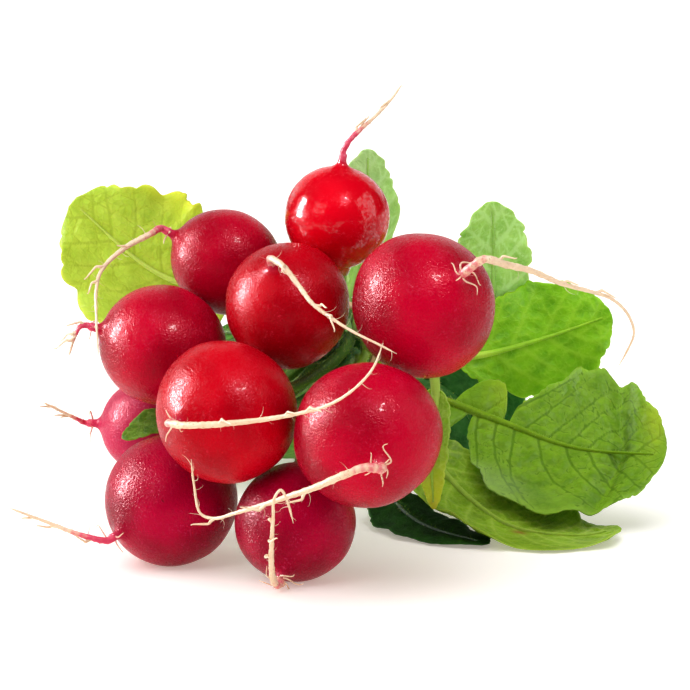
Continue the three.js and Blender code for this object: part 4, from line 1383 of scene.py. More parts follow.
@dataclass
class Leaf:
    """One leaf in one piece: stalk, leaflets and end lobe, with a rib along its back.

    path is what the leaf's line passes after the band, or after the crown where the band doesn't hold it.
    facing is the way that the upper side looks halfway along the end lobe, and lobe that lobe's length and
    width. slot is the stalk's ring and place in the band, and pairs counts the leaflets. cup is how strongly
    the blade curls up, wave how high its edges wave, and broad sets where it is widest. skew is how much
    later the right side starts, and sweep how far each side leans back. step is about the size of the mesh's
    faces, pucker how high the blade stands between its veins, and teeth the distance between its teeth.
    """

    plant: int
    path: tuple[Point, ...]
    facing: Point
    lobe: tuple[float, float]
    slot: tuple[int, int] | None = None
    pairs: int = 0
    cup: float = 0.5
    wave: float = 1.2
    broad: float = 0.9
    skew: float = 0.0
    sweep: tuple[float, float] = (0.0, 0.0)
    tone: Tone = Tone.PLAIN
    step: float = 0.85
    pucker: float = 0.45
    teeth: float = 2.6
    veins: Veins = Veins()
    creases: tuple[Crease, ...] = ()
    stains_and_shade: tuple[StainOrShade, ...] = ()

    def target(self) -> np.ndarray:
        """What the stalk heads for from its crown."""
        return slot_place(self.slot) if self.slot else np.array(self.path[1], float)

    def spine(self, base: np.ndarray, out: np.ndarray) -> Spine:
        """The line from the crown to the tip, with the way the upper side looks as its normal.

        Args:
            base: where the stalk starts on its crown.
            out: the way that it leaves the crown.

        Returns:
            The line.
        """
        path = [np.array(p, float) for p in self.path]
        head = np.zeros((0, 3))
        if self.slot:
            slot = slot_place(self.slot)
            way = float(np.linalg.norm(base - slot))
            rise = bezier(base, base + out * 0.15 * way, slot - ALONG * 0.35 * way, slot, CURVE_STEPS)
            head = evenly(rise, HEAD_STEPS)[:-1]
            path = [slot, slot + ALONG * STRAIGHT_RUN, *path]
        else:
            path = [base, base + out * 2 * CROWN_HEIGHT, *path]
        points = np.vstack([head, through_points(path, LEAF_STEPS)])
        lengths = np.concatenate([[0.0], np.cumsum(np.linalg.norm(np.diff(points, axis=0), axis=1))])
        middle = int(np.argmax(lengths > lengths[-1] - self.lobe[0] / 2))
        return Spine(points, middle, np.array(self.facing, float))

    def spans(self, total: float, late: float = 0.0) -> tuple[tuple[float, float], list[tuple[float, float]]]:
        """Where the blade's parts begin and end on one side of the leaf.

        Args:
            total: the leaf's whole length.
            late: how much later the side starts than the other one.

        Returns:
            The end lobe's span, and the leaflets' spans from the outermost one inwards.
        """
        start = total - self.lobe[0] + late
        length = LEAFLET_LENGTH * self.lobe[0]
        ends = [start - i * 1.1 * length - 0.1 * length for i in range(self.pairs)]
        return (start, total), [(end - length, end) for end in ends]

    def lobe_half(self, share: np.ndarray) -> np.ndarray:
        """Half width of the end lobe, a little notched where the CAD model's outline is.

        Args:
            share: how far along the lobe each place is.

        Returns:
            The half widths.
        """
        share = np.clip(share, 0, 1)
        outline = np.sin(np.pi * share**self.broad) ** 0.55
        count = np.arccos(1 - 2 * share) * (BLADE_ROWS - 1 + BLADE_LAST_ROW) / np.pi
        notch = (1 - np.cos(np.pi * count)) / 2
        return self.lobe[1] / 2 * outline * (1 - NOTCH_DEPTH * notch)

    def sheet(self, spine: Spine, span: tuple[float, float], halves: list[np.ndarray], rows: np.ndarray,
              columns: int) -> Patch:
        """A blade as a closed thin sheet.

        Args:
            spine: the leaf's line.
            span: where the end lobe begins and ends.
            halves: half widths on the left and the right side, one for each row.
            rows: lengths along the spine, one for each row.
            columns: how many columns there are on each side of the rib.

        Returns:
            The patch.
        """
        v = np.linspace(-1, 1, 2 * columns + 1)
        half = np.where(v[None, :] < 0, halves[0][:, None], halves[1][:, None])
        at = np.repeat(rows[:, None], len(v), axis=1)
        at, across = self.toothed(at, v * half, v)
        edge = np.abs(v)[None, :] * np.ones_like(at)
        along = at - span[0]
        size = np.maximum(half, 0.01)
        share = along / self.lobe[0]
        far, relative = self.veins.measured(along, across, self.lobe, self.plant + self.lobe[1])
        curl = self.cup / CURL_RADIUS
        place, tangent, normal, side = spine.at(at)
        rise = (1 - np.cos(across * curl)) / curl
        for part in (*self.waved(share, v, edge, half), self.relief(along, across, edge, far, size)):
            rise = rise + part
        middle = place + side * (np.sin(across * curl) / curl)[..., None] + normal * rise[..., None]
        late = np.where(v < 0, 0.0, self.skew)
        swept = np.where(v < 0, *self.sweep) * (1 - share) / self.lobe[1] * ramp(along - late, 0, 1)
        middle = kept_off(middle - tangent * (swept * np.abs(across))[..., None], BLADE_THICKNESS / 2)
        facing = unit(np.cross(np.gradient(middle, axis=1), np.gradient(middle, axis=0)))
        thick = BLADE_THICKNESS / 2 * np.sqrt(np.clip(1 - edge**8, 0, 1)) * np.minimum(1, size / 1.5)
        sheets = [middle + sign * facing * thick[..., None] for sign in (1, -1)]
        attributes = {
            "blade": [np.stack([along, across, relative], axis=-1)] * 2,
            "zone": [np.stack([edge, edge * 0 + under, edge * 0], axis=-1) for under in (0.0, 1.0)],
            "tint": [self.tinted(share, across / (self.lobe[1] / 2))] * 2,
        }
        faces = grid_faces(*at.shape) + grid_faces(*at.shape, start=at.size, flip=True)
        return Patch(
            np.concatenate(sheets).reshape(-1, 3),
            faces,
            {name: np.concatenate(pair).reshape(-1, 3) for name, pair in attributes.items()},
        )

    def waved(self, share: np.ndarray, v: np.ndarray, edge: np.ndarray,
              half: np.ndarray) -> tuple[np.ndarray, np.ndarray]:
        """The slow waves and the fine frill of the edges.

        Args:
            share: how far along the end lobe each place is.
            v: how far across it is, from -1 to 1.
            edge: how near the edge it is.
            half: the blade's half width there.

        Returns:
            The heights of the waves and of the frill.
        """
        swing = self.plant + 2 * self.lobe[1]
        lift = [self.wave * np.sin(turns * share + start * swing) for turns, start in WAVES]
        lift = np.where(v < 0, lift[0], lift[1]) * edge**2 * np.minimum(1, half / 8)
        frill = 0.3 * abs(self.wave) * np.sin(43 * share + swing) * edge**6 * np.minimum(1, half / 8)
        return lift, frill

    def relief(self, along: np.ndarray, across: np.ndarray, edge: np.ndarray, far: np.ndarray,
               size: np.ndarray) -> np.ndarray:
        """How high the blade stands between its veins, and how deep its creases are.

        Args:
            along: millimetres along the end lobe.
            across: millimetres across it.
            edge: how near the edge each place is.
            far: how far it is from the nearest vein.
            size: the blade's half width there.

        Returns:
            The heights.
        """
        reach = np.abs(across)
        inside = (1 - edge**4) * ramp(reach, 0.3, 2.5)
        pillow = 1 - np.exp(-((far / 1.1) ** 2))
        ripple = np.sin(along * 1.55 + 2.1 * np.sin(across * 0.5))
        ripple = ripple * np.sin(across * 1.35 + 1.3 * np.sin(along * 0.6))
        relief = inside * (pillow + 0.22 * ripple) * self.pucker * np.minimum(1, size / 8)
        for crease in self.creases:
            dent = (along - crease.along + 0.12 * reach) / crease.width
            relief = relief + crease.depth * np.exp(-(dent**2))
        return relief

    def tinted(self, share: np.ndarray, across: np.ndarray) -> np.ndarray:
        """How much painted shade or paleness, how yellow and how brown each place is.

        Args:
            share: how far along the end lobe it is.
            across: how far across it is, in half widths.

        Returns:
            The attribute tint.
        """
        tint = np.zeros((*share.shape, 3))
        # Patches with the mark SHADE paint shade; YELLOW and BROWN ones are the blade's own colour.
        for stain_or_shade in self.stains_and_shade:
            x = (share - stain_or_shade.place[0]) * self.lobe[0] / stain_or_shade.size[0]
            y = (across - stain_or_shade.place[1]) * self.lobe[1] / 2 / stain_or_shade.size[1]
            crooked = 1 + 0.25 * np.sin(3.1 * x + 2.3 * y + stain_or_shade.depth * 9) * np.sin(2.7 * y - 1.9 * x)
            soft = stain_or_shade.depth * np.exp(-((x**2 + y**2) * crooked))
            if stain_or_shade.mark is Mark.PALE:
                tint[..., 0] -= soft
            else:
                tint[..., stain_or_shade.mark.value] += soft
        return np.clip(tint, -1, 1)

    def toothed(self, at: np.ndarray, across: np.ndarray, v: np.ndarray) -> tuple[np.ndarray, np.ndarray]:
        """Cuts rounded teeth into both edges, square to each edge, and eases them out inside it.

        Args:
            at: lengths along the spine.
            across: millimetres across the blade.
            v: how far across each column is, from -1 to 1.

        Returns:
            The two lengths with the teeth cut.
        """
        for column, sign in ((0, -1.0), (-1, 1.0)):
            edge = np.stack([at[:, column], across[:, column]], axis=1)
            steps = np.linalg.norm(np.diff(edge, axis=0), axis=1)
            lengths = np.concatenate([[0.0], np.cumsum(steps)])
            way = unit(np.gradient(edge, axis=0))
            outward = np.stack([-way[:, 1], way[:, 0]], axis=1) * sign
            outward *= np.where(outward[:, 1:] * sign < -0.2, -1.0, 1.0)
            spot = lengths / self.teeth + 0.35 * np.sin(lengths * 0.31 + self.plant)
            cut = (np.abs(np.sin(np.pi * spot)) ** 0.6 - 1) * self.teeth * 0.26
            cut *= 0.65 + 0.35 * np.sin(lengths * 0.83 + 2 * self.plant)
            cut *= np.minimum(1, np.abs(edge[:, 1]) / 3)
            weight = (np.where(v * sign > 0, np.abs(v), 0) ** 7)[None, :]
            at = at + weight * (cut * outward[:, 0])[:, None]
            across = across + weight * (cut * outward[:, 1])[:, None]
        return at, across

    def stalk(self, spine: Spine, bare_end: float, span: tuple[float, float]) -> Patch:
        """The stalk and the rib that it runs into, as one tapering tube with a groove along its top.

        Args:
            spine: the leaf's line.
            bare_end: where the blade begins.
            span: where the end lobe begins and ends.

        Returns:
            The patch.
        """
        rib_end = spine.total - 0.06 * self.lobe[0]
        bare, ribbed = np.arange(-1.5, bare_end, STALK_ROW), np.arange(bare_end, rib_end, RIB_ROW)
        rows = np.concatenate([bare, ribbed, [rib_end]])
        angle = np.linspace(0, 2 * np.pi, STALK_SIDES, endpoint=False)
        girth = STALK_RADIUS[0] + (STALK_RADIUS[1] - STALK_RADIUS[0]) * np.clip(rows / bare_end, 0, 1)
        along = np.clip((rows - span[0]) / self.lobe[0], 0, 1)
        rib = 1 + (RIB_GIRTH - 1) * along
        inside = ramp(rows, bare_end - 3, bare_end + 6)
        wide = girth * (1 + ((0.6 + 0.3 * (1 - along)) * rib - 1) * inside)
        deep = girth * 0.85 * (1 - inside) + (BLADE_THICKNESS / 2 + 1.2 * rib) * inside
        high = girth * 0.75 * (1 - inside) + 0.18 * inside
        x = -np.cos(angle)[None, :] * wide[:, None]
        y = np.sin(angle)[None, :]
        y = np.where(y > 0, y * high[:, None], y * deep[:, None])
        groove = 0.32 * girth * (1 - 0.7 * inside)
        y = y - groove[:, None] * np.exp(-((x / (0.45 * wide[:, None])) ** 2)) * (y > 0)
        place, tangent, normal, side = spine.at(np.clip(rows, 0, None))
        place = kept_off(place + tangent * np.minimum(rows, 0)[:, None], BLADE_THICKNESS / 2)
        points = place[:, None] + side[:, None] * x[..., None] + normal[:, None] * y[..., None]
        points[..., 2] = np.maximum(points[..., 2], 0.03)
        first, last = (points[i].mean(axis=0)[None, None].repeat(STALK_SIDES, axis=1) for i in (0, -1))
        closed = np.concatenate([first, points, last])
        rows = np.concatenate([rows[:1], rows, rows[-1:]])
        shape = closed.shape[:2]
        blade = np.full((*shape, 3), PLAIN_BLADE)
        blade[..., 0] = (rows - span[0])[:, None]
        blade[..., 1] = np.concatenate([x[:1], x, x[-1:]]) * 0.3
        zone = np.zeros((*shape, 3))
        zone[..., 1] = 1.0
        zone[..., 2] = (1 - 0.75 * ramp(rows, bare_end, bare_end + 12))[:, None]
        layers = {"blade": blade, "zone": zone, "tint": np.zeros_like(blade)}
        attributes = {name: values.reshape(-1, 3) for name, values in layers.items()}
        return Patch(closed.reshape(-1, 3), grid_faces(*shape, around=True), attributes)

    def patches(self, base: np.ndarray, out: np.ndarray) -> tuple[Patch, Patch]:
        """The whole leaf, and its stalk alone.

        Args:
            base: where the stalk starts on its crown.
            out: the way that it leaves the crown.

        Returns:
            The two patches.
        """
        spine = self.spine(base, out)
        span, leaflets = self.spans(spine.total)
        late, late_leaflets = self.spans(spine.total, self.skew)
        bare_end = leaflets[-1][0] if leaflets else span[0]
        count = int(self.lobe[0] / self.step * 1.15)
        even = np.linspace(0, 1, count)
        shares = 0.45 * even + 0.55 * (1 - np.cos(np.pi * even)) / 2
        rows = span[0] + (span[1] - span[0]) * shares
        halves = [self.lobe_half((rows - s[0]) / (s[1] - s[0])) * (rows >= s[0]) for s in (span, late)]
        parts = [self.sheet(spine, span, halves, rows, max(10, int(self.lobe[1] / 2 / self.step)))]
        for early, behind in zip(leaflets, late_leaflets):
            rows = np.linspace(early[0], behind[1], max(12, int((behind[1] - early[0]) / self.step)))
            share = [np.clip((rows - start) / (end - start), 0, 1) for start, end in (early, behind)]
            wide = LEAFLET_HALF * self.lobe[1]
            halves = [wide * np.sin(np.pi * part) ** 0.6 for part in share]
            parts.append(self.sheet(spine, span, halves, rows, max(8, int(wide / self.step))))
        stalk = self.stalk(spine, bare_end, span)
        return Patch.joined([*parts, stalk]), stalk


def kept_off(points: np.ndarray, lowest: float) -> np.ndarray:
    """Lays what would sink below the resting surface on it, and bends over what is just above.

    Args:
        points: the points, of any array shape.
        lowest: how high above the surface a point stays.

    Returns:
        The moved points.
    """
    above = points[..., 2] - lowest
    lifted = np.where(above > 8, above, np.log1p(np.exp(np.minimum(above, 8))))
    return np.concatenate([points[..., :2], (lowest + lifted)[..., None]], axis=-1)


def stalk_bases(bulb: Bulb, targets: list[np.ndarray]) -> list[np.ndarray]:
    """Where each of a plant's stalks starts: evenly round its crown, in the order in which their targets lie.

    Args:
        bulb: the plant's bulb.
        targets: what each stalk heads for.

    Returns:
        A place for each target.
    """
    out = -bulb.out
    crown = np.array(bulb.centre) + out * (bulb.half + CROWN_HEIGHT + 2 * GAP)
    right = unit(np.cross([0.0, 0.0, 1.0], out))
    up = np.cross(out, right)
    aways = [p - np.mean(targets, axis=0) for p in targets]
    angles = [math.atan2(away @ up, away @ right) for away in aways]
    ranked = sorted(angles)
    pitch = 2 * math.pi / len(angles)
    first = sum(angle - i * pitch for i, angle in enumerate(ranked)) / len(angles)
    around = [first + pitch * ranked.index(angle) for angle in angles]
    return [crown + CROWN_SPREAD * (right * math.cos(a) + up * math.sin(a)) for a in around]


# The bunch --------------------------------------------------------------------------------------------------


def ten_bulbs() -> list[Bulb]:
    """The bulbs, numbered from the top down."""
    return [
        Bulb(1, (-28.5, 42, 67.5), 12.3, (-0.9, -0.15, 0.5), 1.12, Rind.CRIMSON),
        Bulb(2, (-2, 37, 79), 12.7, (0.1, -0.1, 1), 0.97, Rind.GLOSSY),
        Bulb(3, (-13.5, 20, 60.5), 14.8, (-0.2, -0.68, 0.7), 0.98, Rind.SCARLET),
        Bulb(4, (18, 5, 63), 16.5, (0.45, -0.72, 0.5), 0.98, Rind.CRIMSON),
        Bulb(5, (-43, 25.5, 50), 14.3, (-0.93, -0.25, 0.3), 1.06, Rind.CRIMSON),
        Bulb(6, (-27, -2, 39.5), 16.3, (-0.62, -0.78, 0.03), 0.98, Rind.SCARLET),
        Bulb(7, (5, -14, 36.7), 16.5, (0.15, -0.96, -0.17), 1, Rind.CRIMSON),
        Bulb(8, (-40.8, 15.5, 14.9), 15.3, (-0.7, -0.6, -0.34), 1.03, Rind.MAGENTA),
        Bulb(9, (-11.5, 0, 13.3), 13.8, (-0.2, -0.72, -0.66), 1, Rind.MAGENTA),
        Bulb(10, (-48, 46, 26.5), 11.6, (-0.98, 0, 0.05), 1, Rind.PINK),
    ]


def ten_taproots(bulbs: list[Bulb]) -> list[Taproot]:
    """The taproots, in the order of their bulbs."""
    return [
        Taproot(bulbs[0], 1.0, (
            (-46.3, 33, 75.5), (-52, 30, 72.7), (-56.9, 25, 68.6), (-58, 19, 64.8), (-57.6, 13, 58.3),
            (-57, 10, 50)), 8.0, 26, 0.9),
        Taproot(bulbs[1], 0.9, (
            (1, 35, 97.5), (3.5, 36, 100), (7, 37, 103), (10.5, 38, 106.5), (13.5, 39, 110.5)), 9.0, 3, 1.0,
            tuft=0),
        Taproot(bulbs[2], 0.95, (
            (-14, 1.5, 72.5), (-10.5, -1, 68.5), (-7.5, -4, 65), (-3, -7, 62), (2, -11, 59.5),
            (7, -14, 57.5), (11.5, -16, 55.5)), 3.0, 14, tuft=1),
        Taproot(bulbs[3], 1.15, (
            (31, -11, 76), (36, -9, 74.5), (42, -5, 72.5), (49, -1, 69), (56, 3, 66.5), (61, 5, 64.5),
            (65, 7, 60.5), (66.5, 8, 56), (65, 9, 51.5), (63, 10, 47.5)), 7.0, 18, tuft=5),
        Taproot(bulbs[4], 0.9, ((-62, 20, 55.5), (-63.5, 19, 52.5), (-64.5, 18, 49)), 6.0, 16, 1.0),
        Taproot(bulbs[5], 1.0, (
            (-36, -20.5, 40.2), (-30.5, -22.5, 40.7), (-24, -23.5, 41.4), (-17, -24.8, 42.5),
            (-10, -27.5, 44.3), (-3.5, -31.5, 47), (2, -34, 51), (6, -34, 55.5), (8.3, -31, 60.5)), 3.0, 22),
        Taproot(bulbs[6], 1.15, (
            (4.5, -35.5, 33.9), (-1, -36, 32), (-6.3, -34, 29.2), (-12.1, -30, 26.3), (-18.3, -26, 23.3),
            (-24, -21.5, 20.6), (-29.5, -17, 18.2), (-32.5, -15.5, 19), (-33.9, -15, 25.5),
            (-34.3, -18.5, 32)), 9.0, 30, tuft=6),
        Taproot(bulbs[7], 1.0, (
            (-59, 1.5, 9.3), (-64, 1.5, 11), (-68.5, 1, 13), (-73, 0, 15), (-77, -1.5, 17)), 10.0, 8, 1.0),
        Taproot(bulbs[8], 0.95, (
            (-16, -14.5, 2.8), (-16.5, -19.5, 8.5), (-16.2, -26.5, 15.4), (-15.7, -33.5, 22.7),
            (-15.4, -35.7, 27), (-14, -36, 29), (-12.6, -34.9, 26.3), (-11.3, -33.5, 21)), 4.0, 18, tuft=7),
        Taproot(bulbs[9], 0.8, ((-65, 44, 28.5), (-69, 42, 31), (-73, 40, 33.5)), 6.0, 6, 0.9),
    ]


def all_leaves() -> list[Leaf]:
    """The leaves, in the order in which the band holds them and then the loose ones."""
    near = {"step": 0.55}  # leaves in plain sight have a finer mesh
    return [
        Leaf(7, ((14, 77, 31), (28, 75, 26), (40, 69, 22.5), (57, 60, 18), (79, 51, 18)), (0.1, 0.72, -0.69),
             (52, 47), (1, 0), 1, -0.35, 0.8, 1.15, 9.5, (10, 18), Tone.UNDER, pucker=-0.75, teeth=2.3,
             veins=Veins(6.3, 0.42, 5), creases=(Crease(40.5, 2.2, 2.4),), stains_and_shade=(
                 # Painted shade in the fold at the crease.
                 StainOrShade(Mark.SHADE, (0.80, 0.05), (2.0, 16), 0.45),
                 StainOrShade(Mark.YELLOW, (0.93, 0.5), (3, 10), 0.22),
                 StainOrShade(Mark.PALE, (0.3, -0.8), (16, 6), 0.35),
                 StainOrShade(Mark.YELLOW, (0.1, 0.6), (5, 10), 0.2)), **near),
        Leaf(4, ((18, 80, 38), (33, 84, 37), (50, 86, 41), (68, 83, 48)), (0.05, 0.95, -0.1), (42, 31),
             (1, 1), 0, 0.4, 1.6, 1.15, tone=Tone.VIVID, teeth=4.2, veins=Veins(7.0, 0.6, 3), **near),
        Leaf(4, ((14, 84, 45), (28, 90, 42), (37, 91, 48), (38, 90, 61), (37.5, 87, 76.5)), (-0.1, 1, 0),
             (36, 21), (1, 2), 0, 0.5, 1.4, 1.1, tone=Tone.PALE, teeth=4.0, veins=Veins(7.0, 0.7, 3), **near),
        Leaf(2, ((2, 82, 57), (5, 87, 70), (5.8, 86, 90)), (-0.4, 0.9, 0), (38, 22), (1, 3), 0, 0.9, 1.4,
             tone=Tone.PALE, teeth=4.0, veins=Veins(7.0, 0.6, 3),
             stains_and_shade=(StainOrShade(Mark.PALE, (0.8, 0.3), (20, 12), 0.7),), **near),
        Leaf(2, ((-6, 92, 56), (-8, 125, 57), (-8, 155, 43)), (0, 0, -1), (46, 27), (1, 4), 1, 0.5, 1.2),
        Leaf(1, ((-14, 80, 52), (-30, 82, 53), (-48, 82, 59), (-69, 82, 77)), (0, 1, 0), (48, 43), (1, 5), 0,
             0.3, 1.6, tone=Tone.YELLOW, teeth=5.2, pucker=-0.35, veins=Veins(7.5, 0.45, 4), stains_and_shade=(
                 StainOrShade(Mark.YELLOW, (0.75, -0.95), (22, 5), 0.8),
                 # Painted shade on the blade.
                 StainOrShade(Mark.SHADE, (0.35, 0.5), (14, 9), 0.3)), **near),
        Leaf(1, ((-18, 90, 50), (-32, 118, 54), (-40, 150, 44)), (0, 0, -1), (48, 27), (1, 6), 0, 0.5, 1.2),
        Leaf(5, ((-22, 92, 41), (-44, 120, 36), (-50, 146, 24)), (0.5, 0, -0.8), (44, 26), (1, 7), 1, 0.4,
             1.2),
        Leaf(10, ((-21, 92, 30), (-38, 118, 18), (-44, 142, 7)), (0, 0, 1), (42, 26), (1, 8), 0, 0.3, 1.2),
        Leaf(10, ((-20, 84, 23), (-36, 98, 9), (-50, 118, 1.5)), (0, 0, 1), (38, 26), (1, 9), 1, 0.2, 0.8),
        Leaf(8, ((-6, 84, 21), (-8, 100, 8), (-10, 130, 1.2)), (0, 0, 1), (44, 28), (1, 10), 0, 0.2, 0.8),
        # This leaf lies on the surface under the bulbs, in the darkest green: painted shade.
        Leaf(9, ((2, 79, 27), (7, 74, 14), (12, 60, 5), (20, 45, 1), (34, 28.5, 0.5)), (0, 0, -1),
             (46, 22), (1, 11), 0, 0.2, 0.8, tone=Tone.DARK, **near),
        Leaf(7, ((9, 78, 29), (20, 67, 16), (31, 54, 6), (45, 42, -0.3), (58, 38, -0.3), (67, 40, 2.5)),
             (0, 0.1, -1), (66, 42), (1, 12), 0, -0.7, 1.4, 1, tone=Tone.LIGHT, teeth=2.8, pucker=0.55,
             veins=Veins(6.5, 0.35, 4), stains_and_shade=(
                 StainOrShade(Mark.BROWN, (0.62, -0.1), (1.8, 1.2), 0.9),
                 StainOrShade(Mark.BROWN, (0.3, 0.5), (1.5, 2), 0.5),
                 # Painted shade on the blade.
                 StainOrShade(Mark.SHADE, (0.35, 0.0), (6, 4), 0.4)), **near),
        Leaf(6, ((9, 98, 43), (26, 128, 38), (34, 158, 26)), (0, 0, -1), (46, 26), (0, 0), 0, 0.5, 1.2),
        Leaf(3, ((5, 93, 52), (20, 122, 53), (28, 150, 43)), (0, 0, -1), (44, 26), (0, 1), 0, 0.5, 1.2),
        Leaf(3, ((-4, 100, 46), (2, 135, 41), (4, 170, 28)), (0, 0, -1), (48, 26), (0, 2), 1, 0.5, 1.2),
        Leaf(5, ((-12, 100, 41), (-22, 132, 36), (-28, 162, 24)), (0, 0, -1), (46, 26), (0, 3), 0, 0.5, 1.2),
        Leaf(8, ((-9, 98, 34), (-14, 130, 22), (-17, 160, 7)), (0, 0, 1), (46, 27), (0, 4), 1, 0.4, 1.2),
        Leaf(9, ((4, 96, 32), (11, 126, 20), (14, 152, 6)), (0, 0, 1), (44, 26), (0, 5), 0, 0.3, 1.2),
        # This leaf, in the blue-green, lies in shadow behind the front leaf: painted shade.
        Leaf(6, ((15, 92, 30), (27, 98, 25), (35, 100, 14), (39, 100, 3)), (0.2, 1, 0), (34, 32), (0, 6), 0,
             0.3, 1.2, tone=Tone.BLUE),
        # This short leaf fills the gap between the bulbs in the darkest green: painted shade.
        Leaf(3, ((-2, 98, 40), (-2, 111, 39), (-3, 118, 34), (-4, 120, 26)), (0, -0.3, -1), (16, 20), (2, 0),
             0, 0.5, 0.6, tone=Tone.DARK, **near),
        Leaf(7, ((14, 16, 44), (20, 32, 45), (22, 42, 35), (21, 39.5, 22), (21.5, 35.5, 8)), (0.3, 1, 0),
             (30, 9), None, 0, 1.2, 0.5, 0.75, tone=Tone.YOUNG, teeth=1.8, veins=Veins(4.0, 0.3, 2), stains_and_shade=(
                 StainOrShade(Mark.YELLOW, (0.95, 0.0), (9, 9), 0.6),
                 StainOrShade(Mark.BROWN, (0.98, 0.0), (1.5, 2), 0.3)), **near),
        Leaf(8, ((-24, 24.5, 27.5), (-30, 28, 31.5), (-42, 30, 32), (-53, 26, 27.5)), (0, -0.5, 1),
             (20, 10), None, 0, 0.6, 0.5, tone=Tone.FRESH, teeth=1.8, veins=Veins(4.0, 0.3, 2), **near),
    ]


@dataclass
class RubberBand:
    """Two turns of a flat rubber band side by side round the stalks."""

    inner: float = 10.1
    thickness: float = 1.1
    width: float = 2.6
    sides: int = 120
    corners: int = 24

    def build(self, finish: bpy.types.Material) -> None:
        """Makes both turns as rounded rings, and stands them in for the node.

        Args:
            finish: the rubber.
        """
        corner = np.linspace(0, 2 * np.pi, self.corners, endpoint=False)
        around = np.linspace(0, 2 * np.pi, self.sides, endpoint=False)
        x = np.sign(np.cos(corner)) * np.abs(np.cos(corner)) ** 0.4 * (self.thickness / 2 - 0.03)
        y = np.sign(np.sin(corner)) * np.abs(np.sin(corner)) ** 0.4 * (self.width / 2 - 0.06)
        radius = self.inner + self.thickness / 2 + x[None, :]
        rings = []
        for turn in (-1, 1):
            sway = 0.05 * np.sin(2 * around + turn)[:, None]
            height = y[None, :] + turn * self.width / 2 + sway
            ring = [radius * np.sin(around)[:, None], height, radius * np.cos(around)[:, None]]
            points = np.stack(ring, axis=-1) + TIE_CENTRE
            faces = grid_faces(self.sides + 1, self.corners, around=True)
            closed = np.concatenate([points, points[:1]]).reshape(-1, 3)
            rings.append(Patch(closed, faces, {"skin": closed}))
        mesh = Patch.joined(rings).mesh("rubber_band_turns")
        outward(mesh)
        show("rubber_band_turns", mesh, finish, "rubber_band", "rubber_band")


def outward(mesh: bpy.types.Mesh) -> None:
    """Turns the faces of closed shells outwards.

    Args:
        mesh: the mesh that holds the shells.
    """
    shell = bmesh.new()
    shell.from_mesh(mesh)
    bmesh.ops.recalc_face_normals(shell, faces=shell.faces)
    shell.to_mesh(mesh)
    shell.free()


@dataclass
class Bunch:
    """The whole bunch: ten plants and the band."""

    bulbs: list[Bulb] = field(default_factory=ten_bulbs)
    leaves: list[Leaf] = field(default_factory=all_leaves)
    band: RubberBand = field(default_factory=RubberBand)

    def build(self) -> None:
        """Builds every piece."""
        rinds = {rind: rind.value.material() for rind in Rind}
        greens = {tone: tone.value.material() for tone in Tone}
        bark = RootSkin().material()
        tubes, hairs = RootTubes(), RootHairs()
        for bulb in self.bulbs:
            bulb.build(rinds[bulb.rind])
        for taproot in ten_taproots(self.bulbs):
            taproot.build(bark, tubes, hairs)
        bristles = Bristles()
        stalks = []
        for bulb in self.bulbs:
            own = [leaf for leaf in self.leaves if leaf.plant == bulb.number]
            bases = stalk_bases(bulb, [leaf.target() for leaf in own])
            for i, (leaf, base) in enumerate(zip(own, bases), start=1):
                patch, stalk = leaf.patches(base, -bulb.out)
                name = f"leaf_{bulb.number:02d}_{i}"
                mesh = patch.mesh(name)
                outward(mesh)
                show(name, mesh, greens[leaf.tone], "leaf", f"radish_{bulb.number:02d}_leaf_{i}")
                stalks.append(stalk)
        surface = Patch.joined(stalks).mesh("stalks")
        show("stalk_bristles", bristles.mesh("stalk_bristles", surface, greens[Tone.YOUNG]), None, "leaf")
        self.band.build(TanRubber().material())


# Studio -----------------------------------------------------------------------------------------------------


@dataclass(frozen=True)
class Softbox:
    """A rectangular area light, with its places and size in metres and its power in watts.

    A card shows as a reflection and gives matt surfaces no light.
    """

    name: str
    place: Point
    aim: Point
    size: tuple[float, float]
    power: float
    card: bool = True

    def build(self) -> None:
        """Hangs the light and turns it to its aim."""
        lamp = bpy.data.lights.new(self.name, "AREA")
        lamp.shape = "RECTANGLE"
        lamp.size, lamp.size_y = self.size
        lamp.energy = self.power
        box = bpy.data.objects.new(self.name, lamp)
        box.location = self.place
        box.visible_diffuse = not self.card
        box.rotation_euler = (Vector(self.aim) - Vector(self.place)).to_track_quat("-Z", "Y").to_euler()
        bpy.context.scene.collection.objects.link(box)


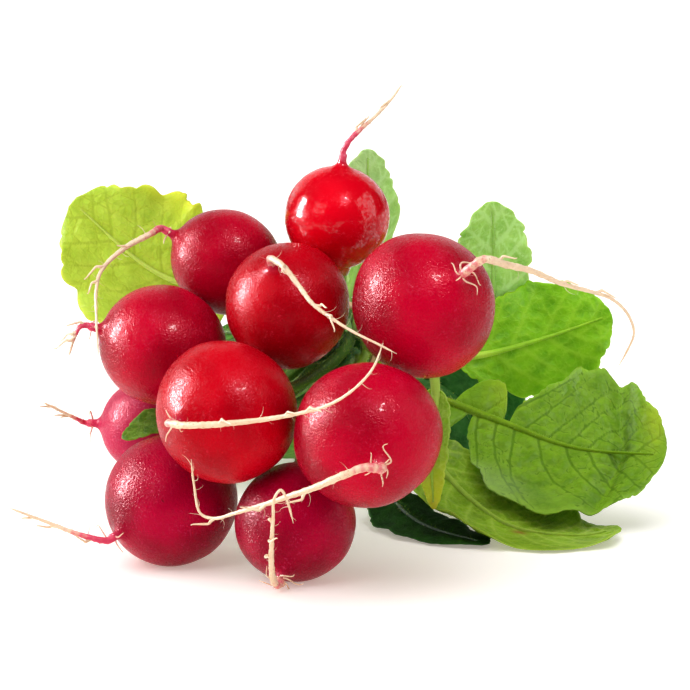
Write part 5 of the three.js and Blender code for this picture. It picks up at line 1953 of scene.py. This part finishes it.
@dataclass
class Studio:
    """A white floor in a white room, soft light and the camera.

    The camera's place is in the bunch's millimetres, its sensor in millimetres, and its focal length and the
    width of its frame in pixels. Its tilt and the sun's width are in degrees, and the floor is so many metres
    from its middle to its edge.
    """

    camera_place: Point = (0.0, -682.38, 174.99)
    tilt: float = 80.0
    sensor: float = 36.0
    focal_pixels: float = 3043.478
    frame_pixels: int = 690
    floor_reach: float = 4.0
    sun_power: float = 2.75
    sun_width: float = 70.0
    sun_way: Point = (0.28, 0.18, -1.0)
    room_light: float = 0.5
    lights: tuple[Softbox, ...] = (
        Softbox("fill", (-0.5, -0.6, 0.5), (0, 0, 0.06), (0.4, 0.4), 1.2, card=False),
        Softbox("window", (-0.52, 0.0, 0.24), (0, 0, 0.08), (0.18, 0.32), 23.0),
        Softbox("key", (0.3, -0.5, 0.75), (0, 0, 0.06), (0.18, 0.18), 17.0),
        Softbox("reflector", (0.6, -0.1, 0.3), (0, 0, 0.06), (0.5, 0.5), 2.2),
        Softbox("backdrop", (0, 1.2, 0.62), (0, 0, 0.1), (2.4, 1.0), 9.0),
    )

    def camera(self) -> None:
        """A long lens, ten degrees above the surface, facing the taproots."""
        lens = bpy.data.cameras.new("camera")
        lens.sensor_fit = "HORIZONTAL"
        lens.sensor_width = self.sensor
        lens.lens = self.sensor * self.focal_pixels / self.frame_pixels
        lens.clip_end = 20.0
        camera = bpy.data.objects.new("camera", lens)
        camera.location = (np.array(self.camera_place) + SHIFT) * MM
        camera.rotation_euler = (math.radians(self.tilt), 0, 0)
        bpy.context.scene.collection.objects.link(camera)
        bpy.context.scene.camera = camera

    def floor(self) -> None:
        """A wide matt white table of acrylic, lit from below a little, with a faint reflection."""
        material, tree = new_material("white_acrylic_sheet")
        surfaced(tree, {
            "Base Color": srgb("F4F3F2"), "Roughness": 0.42, "Specular IOR Level": 0.2,
            "Emission Color": srgb("FFF3E6"), "Emission Strength": 0.32})
        mesh = bpy.data.meshes.new("floor")
        r = self.floor_reach
        mesh.from_pydata([(-r, -r, 0), (r, -r, 0), (r, r, 0), (-r, r, 0)], [], [(0, 1, 2, 3)])
        mesh.materials.append(material)
        floor = bpy.data.objects.new("floor", mesh)
        bpy.context.scene.collection.objects.link(floor)
        floor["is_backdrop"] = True

    def room(self) -> None:
        """An even white room that doesn't show in anything shiny."""
        world = bpy.data.worlds.new("white_room")
        world.use_nodes = True
        light = world.node_tree.nodes["Background"]
        light.inputs["Color"].default_value = (1, 1, 1, 1)
        light.inputs["Strength"].default_value = self.room_light
        world.cycles_visibility.glossy = False
        bpy.context.scene.world = world

    def overhead(self) -> None:
        """Daylight through a ceiling of cloth: soft, from above, the left and the front, and not shiny."""
        lamp = bpy.data.lights.new("overhead", "SUN")
        lamp.energy = self.sun_power
        lamp.angle = math.radians(self.sun_width)
        sun = bpy.data.objects.new("overhead", lamp)
        sun.visible_glossy = False
        sun.rotation_euler = Vector(self.sun_way).to_track_quat("-Z", "Y").to_euler()
        bpy.context.scene.collection.objects.link(sun)

    def build(self) -> None:
        """Sets up the camera, the floor and the light."""
        self.camera()
        self.floor()
        self.room()
        self.overhead()
        for light in self.lights:
            light.build()
        bpy.context.scene.view_settings.view_transform = "Standard"


def main() -> None:
    """Builds the studio and the bunch, and works out both boxes."""
    logging.basicConfig(level=logging.INFO, format="%(name)s: %(message)s")
    Studio().build()
    Bunch().build()
    boxes = {"cad": CAD_BOX, "visual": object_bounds()}
    plain = {name: [[float(x) for x in corner] for corner in box] for name, box in boxes.items()}


if __name__ == "__main__":
    main()
